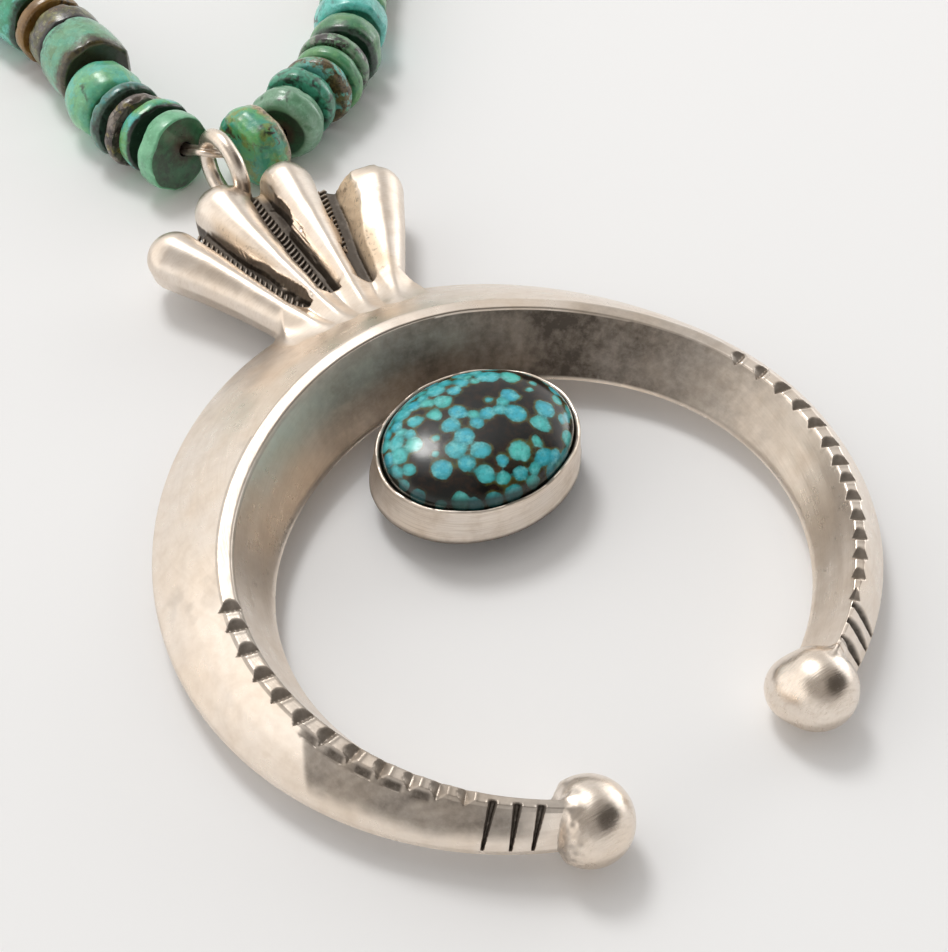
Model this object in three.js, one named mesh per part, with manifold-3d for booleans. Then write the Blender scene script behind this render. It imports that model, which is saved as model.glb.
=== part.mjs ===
import * as THREE from 'three';
import { mergeVertices } from 'three/addons/utils/BufferGeometryUtils.js';
import Module from 'manifold-3d';

// Necklace: a cast silver crescent pendant (naja) with a turquoise cabochon, hung by a wire ring
// from one strand of drilled turquoise disc beads. Millimetres, +Z up.
// The pendant group's own frame has its origin at the centre of the crescent's outer circle,
// on the plane of the crescent's flat back, +Y towards the fan and the strand.

// ---- driving dimensions -------------------------------------------------------------------
const BACK_HEIGHT = 2.85;      // flat back of the crescent above the surface (the ball ends stand proud)
const CENTRE_X = -36.53;       // pendant frame to part frame, so that the whole box is centred
const CENTRE_Y = -112.05;
const RIM = 0.77;              // upright edge at the crescent's outer and inner base lines
const RIDGE_FLAT = 1.3;        // flat along the top of the ridge
const ARM_END = 152;           // degrees each side of the fan where the arms run into the balls
const BALLS = {                // ball ends: the left one is round, the right one has a second lump run into it
  '-1': { radius: 4.0, at: [-13.03, -29.8, 1.15] },
  1: { radius: 3.9, at: [12.55, -29.65, 1.05], lump: { radius: 3.35, at: [11.75, -28.85, 0.7] } },
};
const BEZEL = { x: 1.1, y: 9.1, a: 11.0, b: 8.86, rot: 0.094, z0: 0, z1: 4.06, flare: 0.43, wall: 0.5, floor: 0.8 };
const STONE = { gap: 0.32, z0: 1.12, zGirdle: 3.7, zTop: 6.9 };
const WEB_TOP = 1.9;           // floor of the channels between the fan's lobes
const RING = { x: -1.5, y: 57.7, z: 4.1, R: 3.8, wire: 0.95, yaw: 4 };
const THREAD_R = 0.42;
// Way of the thread through the ring, from left to right, as offsets from the ring's centre: x, y, z
const THREAD_AT_RING = [[-1.95, 5.0, -1.2], [-1.75, 3.2, -0.1], [-0.15, 1.85, 0.3], [1.4, 2.5, -0.3], [2.6, 3.3, -1.3]];
const HOLE_R = 1.3;
const GAP = 0.3;
const STRAND_SIDES = 8;
const rad = (d) => (d * Math.PI) / 180;

// Crescent sections every 15 degrees from the left arm's end to the right arm's end:
// outer base radius, ridge radius, ridge height, inner base radius
const CRESCENT = [
  [-150, 34.61, 32.59, 4.67, 29.72], [-135, 35.26, 32.44, 5.10, 29.56], [-120, 35.79, 32.10, 5.48, 28.99],
  [-105, 36.00, 31.42, 5.74, 27.85], [-90, 35.82, 30.25, 5.91, 26.14], [-75, 35.41, 28.66, 6.11, 24.07],
  [-60, 35.00, 26.95, 6.44, 22.04], [-45, 34.82, 25.46, 6.93, 20.43], [-30, 34.86, 24.43, 7.47, 19.43],
  [-15, 34.97, 23.83, 7.92, 19.02], [0, 34.93, 23.56, 8.10, 19.03], [15, 34.68, 23.59, 7.95, 19.34],
  [30, 34.38, 24.06, 7.51, 19.96], [45, 34.28, 25.16, 6.92, 21.02], [60, 34.55, 26.83, 6.37, 22.51],
  [75, 35.12, 28.74, 5.99, 24.28], [90, 35.71, 30.42, 5.79, 26.00], [105, 36.00, 31.51, 5.68, 27.39],
  [120, 35.84, 32.01, 5.52, 28.31], [135, 35.30, 32.17, 5.23, 28.82], [150, 34.62, 32.26, 4.83, 29.10],
].map(([phi, outer, ridge, z, inner]) => ({ phi, outer, ridge, z, inner }));

// V notches filed across the ridge, and long cuts down the outer face beside the balls (degrees)
const NOTCHES = [-137.5, -133.4, -129.2, -124.6, -119.8, -115.1, -110.2, -105.3, -100.3, -95.0, -90.0, -85.6,
  83.2, 88.4, 93.7, 99.0, 103.9, 108.6, 113.0, 117.1, 121.1, 125.2, 129.3, 133.4, 137.6, 142.0];
const NOTCH = { width: 1.6, depth: 0.6 };
const CUTS = [[-141.6, 0.8], [-145.2, 0.8], [-148.6, 0.8], [144.2, 0.8], [147.6, 0.8], [151.0, 0.8]]; // phi, width

// Fan lobes: centre line station by station: x, y, half width, crest height
const LOBES = {
  a: [[-4.4, 28.6, 1.5, 4.6], [-6.4, 34.6, 1.65, 4.4], [-8.3, 39.6, 2.0, 4.7], [-10.3, 44.4, 2.6, 5.2], [-12.2, 48.5, 3.15, 5.5]],
  b: [[-1.8, 28.8, 1.4, 4.8], [-2.55, 34.4, 1.4, 4.6], [-3.3, 40.6, 1.9, 4.9], [-3.95, 46.8, 2.6, 5.4], [-4.25, 52.4, 3.35, 5.8]],
  c: [[0.9, 28.8, 1.4, 4.8], [1.6, 34.4, 1.5, 4.6], [2.35, 40.0, 2.0, 4.9], [3.1, 46.4, 2.7, 5.4], [3.8, 52.8, 3.2, 5.8]],
  d: [[4.1, 28.4, 1.5, 4.6], [6.0, 33.8, 1.7, 4.4], [8.2, 38.4, 2.2, 4.7], [10.2, 42.8, 2.75, 5.2], [12.3, 47.3, 3.15, 5.5]],
};
// Outline of the thin web between the lobes: x, y
const WEB = [[-9.6, 27], [-13.2, 45.5], [-10.4, 48.8], [-7.6, 48.6], [-6.4, 51.5], [-1.4, 54.6], [1.4, 54.8], [6.2, 52.0],
  [8.4, 47.0], [11.4, 47.6], [13.0, 44.0], [9.6, 27]];

// Single beads seen beside the pendant: side, x, y, yaw and pitch of the drilled axis (degrees), radius, thickness
const SEEN = [
  ['L', -3.91, 65.99, 107.0, -6.3, 4.65, 2.4], ['L', -4.36, 69.62, 99.7, -3.0, 4.59, 2.27],
  ['L', -5.64, 71.58, 99.7, -2.9, 4.64, 1.39], ['L', -6.18, 73.71, 101.0, -4.8, 4.69, 2.01],
  ['L', -6.53, 78.50, 91.8, 0.0, 4.49, 5.46], ['L', -5.74, 85.72, 90.6, -3.3, 4.82, 6.74],
  ['L', -5.69, 91.52, 92.2, 0.6, 4.53, 3.59], ['L', -6.41, 94.97, 98.4, 1.2, 4.60, 1.67],
  ['L', -7.30, 98.62, 103.9, -0.6, 4.60, 4.20],
  ['R', 4.60, 62.28, 13.0, 2.7, 4.56, 4.9], ['R', 10.46, 64.80, 39.9, -0.8, 4.2, 4.1],
  ['R', 13.51, 67.10, 43.1, -4.6, 4.41, 2.47], ['R', 16.54, 68.21, 42.4, -3.6, 4.42, 2.01],
  ['R', 18.77, 69.47, 41.3, -1.9, 4.44, 2.07], ['R', 20.49, 71.13, 41.3, -1.9, 4.54, 2.08],
  ['R', 23.63, 73.60, 49.9, -1.5, 4.51, 4.00], ['R', 26.97, 77.93, 61.3, 0.0, 4.57, 4.61],
].map(([side, x, y, yaw, pitch, r, t]) => ({ side, x, y, yaw: rad(yaw), pitch: rad(pitch), r, t }));
const SINGLE_PER_SIDE = 20;    // beads that are pieces of their own, each side of the ring

// The strand's route round the neck from the last seen bead on the left to the last on the right: x, y
const ROUTE = [[-7.3, 98.62], [-13.2, 121], [-19.5, 148], [-22.6, 177.8], [-16.8, 206.7], [-1.2, 232.1], [23, 249.4],
  [50.7, 253.4], [77.3, 243.6], [95.8, 222.8], [103.9, 196.3], [101.6, 168.5], [90, 143.1], [71.5, 122.3],
  [51.9, 106.4], [36.5, 91.6], [26.97, 77.93]];
const CLASP = { length: 13, radius: 2.7 };
const SEGMENTS_PER_SIDE = 3;

// ---- shape helpers ------------------------------------------------------------------------
const V = (x, y, z) => new THREE.Vector3(x, y, z);

function geometryFrom(points, faces) {
  const g = new THREE.BufferGeometry();
  g.setAttribute('position', new THREE.Float32BufferAttribute(points.flatMap((p) => [p.x, p.y, p.z]), 3));
  g.setIndex(faces);
  return g;
}

// Closed loft through rings of equal point count; rings run counter-clockwise seen against the travel direction
function loft(rings) {
  const n = rings[0].length;
  const points = rings.flat();
  const faces = [];
  for (let i = 0; i + 1 < rings.length; i++) {
    for (let j = 0; j < n; j++) {
      const a = i * n + j, b = i * n + ((j + 1) % n), c = a + n, d = b + n;
      faces.push(a, b, d, a, d, c);
    }
  }
  for (const [start, flip] of [[0, true], [(rings.length - 1) * n, false]]) {
    const mid = points.length;
    points.push(rings[start / n].reduce((s, p) => s.add(p), V(0, 0, 0)).divideScalar(n));
    for (let j = 0; j < n; j++) {
      const a = start + j, b = start + ((j + 1) % n);
      if (flip) faces.push(mid, b, a); else faces.push(mid, a, b);
    }
  }
  return outward(geometryFrom(points, faces));
}

function volume(g) {
  const p = g.getAttribute('position'), ix = g.getIndex();
  const a = V(0, 0, 0), b = V(0, 0, 0), c = V(0, 0, 0);
  let v = 0;
  for (let i = 0; i < ix.count; i += 3) {
    a.fromBufferAttribute(p, ix.getX(i)); b.fromBufferAttribute(p, ix.getX(i + 1)); c.fromBufferAttribute(p, ix.getX(i + 2));
    v += a.dot(b.clone().cross(c)) / 6;
  }
  return v;
}

function outward(g) {
  if (volume(g) < 0) {
    const ix = g.getIndex();
    for (let i = 0; i < ix.count; i += 3) { const t = ix.getX(i); ix.setX(i, ix.getX(i + 1)); ix.setX(i + 1, t); }
  }
  return g;
}

const wasm = await Module();
wasm.setup();

function solid(geometry) {
  const g = geometry.clone();
  g.deleteAttribute('normal');
  g.deleteAttribute('uv');
  const m = outward(mergeVertices(g, 1e-4));
  return new wasm.Manifold(new wasm.Mesh({
    numProp: 3,
    vertProperties: new Float32Array(m.getAttribute('position').array),
    triVerts: new Uint32Array(m.getIndex().array),
  }));
}

function toGeometry(manifold) {
  const mesh = manifold.getMesh();
  const g = new THREE.BufferGeometry();
  const pos = new Float32Array((mesh.vertProperties.length / mesh.numProp) * 3);
  for (let i = 0; i < pos.length / 3; i++) for (let k = 0; k < 3; k++) pos[i * 3 + k] = mesh.vertProperties[i * mesh.numProp + k];
  g.setAttribute('position', new THREE.BufferAttribute(pos, 3));
  g.setIndex(Array.from(mesh.triVerts));
  return g;
}

// ---- pendant ------------------------------------------------------------------------------
function crescentAt(phi) {
  const t = CRESCENT, n = t.length;
  const u = THREE.MathUtils.clamp((phi - t[0].phi) / 15, 0, n - 1);
  const i = Math.min(Math.floor(u), n - 2), f = u - i;
  const pick = (k, key) => t[THREE.MathUtils.clamp(k, 0, n - 1)][key];
  const cubic = (key) => {
    const p0 = pick(i - 1, key), p1 = pick(i, key), p2 = pick(i + 1, key), p3 = pick(i + 2, key);
    const v0 = (p2 - p0) / 2, v1 = (p3 - p1) / 2;
    return (2 * p1 - 2 * p2 + v0 + v1) * f ** 3 + (-3 * p1 + 3 * p2 - 2 * v0 - v1) * f ** 2 + v0 * f + p1;
  };
  return { outer: cubic('outer'), ridge: cubic('ridge'), z: cubic('z'), inner: cubic('inner') };
}
const polar = (r, phi, z) => V(r * Math.sin(rad(phi)), r * Math.cos(rad(phi)), z);

function crescentRing(phi) {
  const c = crescentAt(phi), h = RIDGE_FLAT / 2;
  const section = [
    [c.outer, 0], [c.outer, RIM],
    [c.outer * 0.42 + (c.ridge + h) * 0.58, RIM * 0.42 + c.z * 0.58 + 0.45],
    [c.ridge + h, c.z], [c.ridge - h, c.z],
    [c.inner * 0.5 + (c.ridge - h) * 0.5, RIM * 0.5 + c.z * 0.5 - 0.2],
    [c.inner, RIM], [c.inner, 0],
  ];
  return section.map(([r, z]) => polar(r, phi, z));
}

function crescent() {
  const rings = [];
  for (let phi = -ARM_END; phi <= ARM_END + 0.01; phi += 8) rings.push(crescentRing(phi));
  return loft(rings);
}

// Triangular prism laid along a radius, point down, standing across the ridge
function notchTool(phi) {
  const c = crescentAt(phi), w = NOTCH.width / 2, r0 = c.ridge - 2.2, r1 = c.ridge + 2.4;
  const tangent = V(Math.cos(rad(phi)), -Math.sin(rad(phi)), 0);
  const at = (r, s, z) => polar(r, phi, z).addScaledVector(tangent, s);
  const tri = (r) => [at(r, -w * 1.6, c.z + NOTCH.depth * 0.6 ), at(r, 0, c.z - NOTCH.depth), at(r, w * 1.6, c.z + NOTCH.depth * 0.6)];
  return loft([tri(r0), tri(r1)]);
}

// Narrow slot down the outer slope
function cutTool([phi, width]) {
  const c = crescentAt(Math.sign(phi) * Math.min(Math.abs(phi), 150)), w = width / 2;
  const tangent = V(Math.cos(rad(phi)), -Math.sin(rad(phi)), 0);
  const at = (r, s, z) => polar(r, phi, z).addScaledVector(tangent, s);
  const top = { r: c.ridge - 0.2, z: c.z }, low = { r: c.outer - 0.35, z: RIM + 0.15 };
  const ring = (p, depth) => [at(p.r - depth * 0.9, 0, p.z - depth), at(p.r + 1, w, p.z + 1.4), at(p.r + 1, -w, p.z + 1.4)];
  return loft([ring(top, 0.9), ring(low, 0.5)]);
}

function lobe(stations) {
  const rows = stations.map(([x, y, w, h]) => ({ p: V(x, y, 0), w, h }));
  const last = rows[rows.length - 1], before = rows[rows.length - 2];
  const dir = last.p.clone().sub(before.p).normalize();
  // round nose: stations that shrink along a quarter circle
  for (const a of [35, 60, 80]) {
    rows.push({ p: last.p.clone().addScaledVector(dir, last.w * Math.sin(rad(a))), w: last.w * Math.cos(rad(a)), h: last.h * (0.55 + 0.45 * Math.cos(rad(a))) });
  }
  const rings = rows.map((r, i) => {
    const a = rows[Math.max(i - 1, 0)].p, b = rows[Math.min(i + 1, rows.length - 1)].p;
    const t = b.clone().sub(a).normalize(), side = V(t.y, -t.x, 0);
    const profile = [[-1, 0], [-1.0, 0.45], [-0.8, 0.8], [-0.35, 0.98], [0.35, 0.98], [0.8, 0.8], [1.0, 0.45], [1, 0]];
    return profile.map(([s, h]) => r.p.clone().addScaledVector(side, s * r.w).setZ(h * r.h));
  });
  return loft(rings);
}

function web() {
  const shape = new THREE.Shape(WEB.map(([x, y]) => new THREE.Vector2(x, y)));
  return new THREE.ExtrudeGeometry(shape, { depth: WEB_TOP, bevelEnabled: false });
}

// Oval of revolution: a lathe scaled to the oval's half axes, profile given as offsets from the oval's edge
function oval(profile, a, b, segments) {
  const m = (a + b) / 2;
  const g = new THREE.LatheGeometry(profile.map(([off, z]) => new THREE.Vector2(off === null ? 0 : m + off, z)), segments);
  g.rotateX(Math.PI / 2);
  const p = g.getAttribute('position');
  for (let i = 0; i < p.count; i++) {
    const x = p.getX(i), y = p.getY(i), r = Math.hypot(x, y);
    if (r < 1e-6) continue;
    const off = r - m;
    const f = r > m * 0.5 ? null : r / m;
    if (f === null) p.setXYZ(i, (x / r) * (a + off), (y / r) * (b + off), p.getZ(i));
    else p.setXYZ(i, x * a / m, y * b / m, p.getZ(i));
  }
  g.rotateZ(BEZEL.rot);
  g.translate(BEZEL.x, BEZEL.y, 0);
  return g;
}

function bezel() {
  const B = BEZEL;
  return oval([[null, B.z0], [B.flare, B.z0], [B.flare, B.z0 + 0.3], [0, B.z1], [-B.wall, B.z1], [-B.wall, B.floor], [null, B.floor]], B.a, B.b, 32);
}

function stoneGeometry() {
  const B = BEZEL, S = STONE, e = -B.wall - S.gap;
  const rows = [[null, S.z0], [e, S.z0], [e, S.zGirdle]];
  for (const [f, h] of [[0.93, 0.42], [0.8, 0.68], [0.6, 0.87], [0.34, 0.97]]) {
    rows.push([(f - 1) * (B.a + B.b) / 2 + e * f, S.zGirdle + (S.zTop - S.zGirdle) * h]);
  }
  rows.push([null, S.zTop]);
  return outward(mergeVertices(strip(oval(rows, B.a, B.b, 28)), 1e-4));
}

function strip(g) { g.deleteAttribute('normal'); g.deleteAttribute('uv'); return g; }

function ringGeometry() {
  const R = RING, profile = [];
  for (let i = 0; i <= 8; i++) profile.push(new THREE.Vector2(R.R + R.wire * Math.cos((i / 8) * 2 * Math.PI), R.wire * Math.sin((i / 8) * 2 * Math.PI)));
  const g = new THREE.LatheGeometry(profile, 20);
  g.rotateZ(Math.PI / 2);
  g.rotateZ(rad(R.yaw));
  g.translate(R.x, R.y, R.z);
  return g;
}

function boxAt(x, y, z, sx, sy, sz, yaw = 0) {
  const g = new THREE.BoxGeometry(sx, sy, sz);
  g.rotateZ(yaw);
  g.translate(x, y, z);
  return g;
}

function ball({ radius, at: [x, y, z] }) {
  const g = new THREE.SphereGeometry(radius, 20, 14);
  g.rotateX(Math.PI / 2);
  g.translate(x, y, z);
  return g;
}

// Short cone that runs the arm into its ball
function neck(sign) {
  const c = V(...BALLS[sign].at), a = polar(32.15, sign * 147.5, 2.2);
  const length = c.distanceTo(a);
  const g = new THREE.CylinderGeometry(3.5, 2.3, length, 12);
  g.applyQuaternion(new THREE.Quaternion().setFromUnitVectors(V(0, 1, 0), c.clone().sub(a).normalize()));
  const m = c.clone().add(a).multiplyScalar(0.5);
  g.translate(m.x, m.y, m.z);
  return g;
}

function naja() {
  let body = solid(crescent());
  const back = solid(boxAt(0, 0, -10, 120, 140, 20));
  for (const s of [-1, 1]) body = body.add(solid(neck(s)).subtract(back));
  for (const phi of NOTCHES) body = body.subtract(solid(notchTool(phi)));
  for (const cut of CUTS) body = body.subtract(solid(cutTool(cut)));
  for (const s of [-1, 1]) body = body.add(solid(ball(BALLS[s])));
  body = body.add(solid(ball(BALLS[1].lump)));
  body = body.add(solid(web()));
  for (const key of Object.keys(LOBES)) body = body.add(solid(lobe(LOBES[key])));
  body = body.add(solid(bezel()));
  body = body.add(solid(boxAt(0.4, 18.9, 0.45, 9, 2.8, 0.9)));
  body = body.add(solid(ringGeometry()));
  body = body.add(solid(boxAt(-1.3, 53.4, 1.9, 1.5, 2.2, 2.6, rad(-6))));
  return body;
}

// ---- strand -------------------------------------------------------------------------------
const noise = (i, k) => { const s = Math.sin(i * 127.1 + k * 311.7) * 43758.5453; return s - Math.floor(s); };
const FLOOR = -BACK_HEIGHT;

const route = new THREE.CatmullRomCurve3(ROUTE.map(([x, y]) => V(x, y, 0)), false, 'catmullrom', 0.5);
route.arcLengthDivisions = 1600;
const routeLength = route.getLength();
function routePoint(s) {
  const u = THREE.MathUtils.clamp(s / routeLength, 0, 1);
  const p = route.getPointAt(u), t = route.getTangentAt(u);
  return { x: p.x, y: p.y, yaw: Math.atan2(t.y, t.x) };
}

// Beads past the seen ones, laid by arc length from both ends towards the clasp in the middle
function hiddenBeads(side) {
  const beads = [];
  const last = SEEN.filter((b) => b.side === side).pop();
  const end = routeLength / 2 - CLASP.length / 2 - 0.6;
  let s = last.t / 2 + GAP + 0.1;
  for (let i = 0; ; i++) {
    const t = 2.6 + 3.2 * noise(i, side === 'L' ? 1 : 2);
    if (s + t > end) break;
    const along = side === 'L' ? s + t / 2 : routeLength - s - t / 2;
    const p = routePoint(along);
    beads.push({ side, x: p.x, y: p.y, yaw: side === 'L' ? p.yaw : p.yaw + Math.PI, pitch: 0, r: 4.3 + 0.4 * noise(i, side === 'L' ? 3 : 4), t, reach: s + t });
    s += t + GAP + 0.1;
  }
  return beads;
}

function beadFrame(b) {
  const axis = V(Math.cos(b.pitch) * Math.cos(b.yaw), Math.cos(b.pitch) * Math.sin(b.yaw), Math.sin(b.pitch));
  const side = V(-Math.sin(b.yaw), Math.cos(b.yaw), 0);
  const up = axis.clone().cross(side);
  const z = FLOOR + b.r * Math.cos(b.pitch) + (b.t / 2) * Math.abs(Math.sin(b.pitch));
  return { axis, side, up, centre: V(b.x, b.y, z) };
}

// A drilled disc with slightly domed rim
function beadGeometry(b) {
  const h = b.t / 2, c = Math.min(0.35, h * 0.4);
  const profile = [[HOLE_R, -h], [b.r - c, -h], [b.r, -h + c * 1.2], [b.r, h - c * 1.2], [b.r - c, h], [HOLE_R, h], [HOLE_R, -h]];
  const g = new THREE.LatheGeometry(profile.map(([x, y]) => new THREE.Vector2(x, y)), 10);
  const f = beadFrame(b);
  g.applyMatrix4(new THREE.Matrix4().makeBasis(f.side, f.axis, f.up.clone().negate()));
  g.translate(f.centre.x, f.centre.y, f.centre.z);
  return outward(mergeVertices(strip(g), 1e-4));
}

// Joined beads: one sweep along the strand whose radius steps between thread core and disc
function joinedGeometry(beads, tail = 0) {
  const rings = [];
  const ringAt = (b, offset, radius) => {
    const f = beadFrame(b), c = f.centre.clone().addScaledVector(f.axis, offset);
    const out = [];
    for (let k = 0; k < STRAND_SIDES; k++) {
      const a = -Math.PI / 2 + (k / STRAND_SIDES) * 2 * Math.PI;
      out.push(c.clone().addScaledVector(f.side, radius * Math.cos(a)).addScaledVector(f.up, radius * Math.sin(a)));
    }
    return out;
  };
  beads.forEach((b, i) => {
    const h = b.t / 2;
    if (i > 0) rings.push(ringAt(b, -h, 0.9));
    rings.push(ringAt(b, -h, b.r), ringAt(b, h, b.r));
    if (i < beads.length - 1 || tail > 0) rings.push(ringAt(b, h, 0.9));
    if (i === beads.length - 1 && tail > 0) rings.push(ringAt(b, h + tail, 0.9));
  });
  return loft(rings);
}

function threadGeometry(left, right) {
  const points = [];
  const push = (b, k) => { const f = beadFrame(b); points.push(f.centre.clone().addScaledVector(f.axis, k * b.t)); };
  for (let i = left.length - 1; i >= 0; i--) push(left[i], i === left.length - 1 ? 0.45 : 0);
  push(left[0], -0.5);
  for (const [dx, dy, dz] of THREAD_AT_RING) points.push(V(RING.x + dx, RING.y + dy, RING.z + dz));
  push(right[0], -0.5);
  for (let i = 0; i < right.length; i++) push(right[i], i === right.length - 1 ? 0.45 : 0);
  const curve = new THREE.CatmullRomCurve3(points, false, 'centripetal');
  const section = new THREE.Shape();
  for (let k = 0; k < 6; k++) {
    const a = (k / 6) * 2 * Math.PI;
    section[k ? 'lineTo' : 'moveTo'](THREAD_R * Math.cos(a), THREAD_R * Math.sin(a));
  }
  const g = new THREE.ExtrudeGeometry(section, { steps: 80, extrudePath: curve, bevelEnabled: false });
  return outward(mergeVertices(strip(g), 1e-4));
}

function claspGeometry() {
  const C = CLASP, h = C.length / 2;
  const g = new THREE.LatheGeometry([[0, -h], [1.1, -h], [1.1, -h + 1.2], [C.radius, -h + 2.4], [C.radius, h - 2.4], [1.1, h - 1.2], [1.1, h], [0, h]]
    .map(([x, y]) => new THREE.Vector2(x, y)), 12);
  const p = routePoint(routeLength / 2);
  g.rotateZ(p.yaw - Math.PI / 2);
  g.translate(p.x, p.y, FLOOR + 4.5);
  return outward(mergeVertices(strip(g), 1e-4));
}

// ---- scene graph --------------------------------------------------------------------------
const silver = { color: 0xcdbfae, roughness: 0.38, metalness: 1 };
const turquoise = [0x4fa487, 0x3f8f78, 0x6aa88c, 0x2f6f5a, 0x58b3a4, 0x7a8450];

const necklace = new THREE.Group();
necklace.position.set(CENTRE_X, CENTRE_Y, BACK_HEIGHT);

function addPiece(parent, name, geometry, material) {
  const mesh = new THREE.Mesh(geometry, new THREE.MeshStandardMaterial(material));
  mesh.name = name;
  parent.add(mesh);
}

const pendant = new THREE.Group();
necklace.add(pendant);
addPiece(pendant, 'naja', toGeometry(naja()), silver);
addPiece(pendant, 'stone', stoneGeometry(), { color: 0x3c8f92, roughness: 0.12, metalness: 0 });

const strand = new THREE.Group();
necklace.add(strand);
const singles = {};
for (const side of ['L', 'R']) {
  const all = [...SEEN.filter((b) => b.side === side), ...hiddenBeads(side)];
  const single = all.slice(0, SINGLE_PER_SIDE), rest = all.slice(SINGLE_PER_SIDE);
  singles[side] = single;
  single.forEach((b, i) => {
    addPiece(strand, `bead_${side}${String(i + 1).padStart(2, '0')}`, beadGeometry(b),
      { color: turquoise[Math.floor(noise(i, side === 'L' ? 5 : 6) * 6)], roughness: 0.3, metalness: 0 });
  });
  const per = Math.ceil(rest.length / SEGMENTS_PER_SIDE);
  for (let k = 0; k < SEGMENTS_PER_SIDE; k++) {
    const run = rest.slice(k * per, (k + 1) * per);
    // the last run's thread core reaches on to the clasp
    const tail = k === SEGMENTS_PER_SIDE - 1 ? routeLength / 2 - CLASP.length / 2 - GAP - run[run.length - 1].reach : 0;
    addPiece(strand, `beads_joined_${side}${k + 1}`, joinedGeometry(run, tail),
      { color: turquoise[k], roughness: 0.3, metalness: 0 });
  }
}
addPiece(strand, 'thread', threadGeometry(singles.L, singles.R), silver);
addPiece(strand, 'clasp', claspGeometry(), silver);

export default necklace;
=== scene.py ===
import bpy
import bmesh
import math
import numpy as np
from mathutils import Matrix, Vector


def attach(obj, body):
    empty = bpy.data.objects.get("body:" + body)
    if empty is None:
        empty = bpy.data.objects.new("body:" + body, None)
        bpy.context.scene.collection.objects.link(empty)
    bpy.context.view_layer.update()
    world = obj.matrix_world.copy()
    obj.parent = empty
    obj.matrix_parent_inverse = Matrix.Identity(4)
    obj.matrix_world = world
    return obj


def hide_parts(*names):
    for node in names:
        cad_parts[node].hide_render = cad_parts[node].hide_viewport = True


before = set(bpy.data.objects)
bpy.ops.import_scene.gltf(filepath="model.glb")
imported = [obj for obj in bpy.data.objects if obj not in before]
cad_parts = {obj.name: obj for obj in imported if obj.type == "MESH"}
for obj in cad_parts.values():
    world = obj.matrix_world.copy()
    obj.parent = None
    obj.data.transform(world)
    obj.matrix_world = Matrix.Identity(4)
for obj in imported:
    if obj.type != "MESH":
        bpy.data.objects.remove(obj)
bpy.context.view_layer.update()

# The pendant's own frame (mm): origin at the crescent's outer circle centre on its flat back, +Y to the fan.
CX, CY, BH = -36.53, -112.05, 2.85
FLOOR = -BH


def to_row(p):
    return (np.asarray(p, float) + np.array([CX, CY, BH])) * 0.001


def rng(seed):
    return np.random.RandomState(seed)


# ------------------------------------------------------------------ smooth value noise in numpy
_perm = rng(7).rand(64, 64, 64)


def vnoise(p, scale, seed=0):
    q = np.asarray(p, float) / scale + np.array([seed * 7.13, seed * 3.71, seed * 5.37]) + 1000.0
    i = np.floor(q).astype(int)
    f = q - i
    f = f * f * (3 - 2 * f)
    i0, i1 = i % 64, (i + 1) % 64
    x0, y0, z0 = i0[..., 0], i0[..., 1], i0[..., 2]
    x1, y1, z1 = i1[..., 0], i1[..., 1], i1[..., 2]
    fx, fy, fz = f[..., 0], f[..., 1], f[..., 2]
    a = _perm[x0, y0, z0] * (1 - fx) + _perm[x1, y0, z0] * fx
    b = _perm[x0, y1, z0] * (1 - fx) + _perm[x1, y1, z0] * fx
    c = _perm[x0, y0, z1] * (1 - fx) + _perm[x1, y0, z1] * fx
    d = _perm[x0, y1, z1] * (1 - fx) + _perm[x1, y1, z1] * fx
    e = a * (1 - fy) + b * fy
    g = c * (1 - fy) + d * fy
    return (e * (1 - fz) + g * fz) * 2 - 1


def sstep(a, b, x):
    t = np.clip((np.asarray(x, float) - a) / (b - a), 0, 1)
    return t * t * (3 - 2 * t)


# ------------------------------------------------------------------ mesh helpers
def make(name, verts, faces, smooth=True, attrs=None, sharp=None):
    me = bpy.data.meshes.new(name)
    v = to_row(verts)
    me.from_pydata(v.tolist(), [], [tuple(int(i) for i in f) for f in faces])
    me.validate()
    me.update()
    if smooth:
        me.polygons.foreach_set("use_smooth", [True] * len(me.polygons))
    for key, val in (attrs or {}).items():
        a = me.attributes.new(key, "FLOAT", "POINT")
        a.data.foreach_set("value", np.asarray(val, np.float32))
    o = bpy.data.objects.new(name, me)
    bpy.context.scene.collection.objects.link(o)
    if sharp is not None:
        me.set_sharp_from_angle(angle=math.radians(sharp))
    return o


def grid_faces(nr, nc, wrap_c=True, wrap_r=False):
    r = np.arange(nr if wrap_r else nr - 1)
    c = np.arange(nc if wrap_c else nc - 1)
    R, C = np.meshgrid(r, c, indexing="ij")
    R2, C2 = (R + 1) % nr, (C + 1) % nc
    return np.stack([R * nc + C, R * nc + C2, R2 * nc + C2, R2 * nc + C], -1).reshape(-1, 4)


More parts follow.
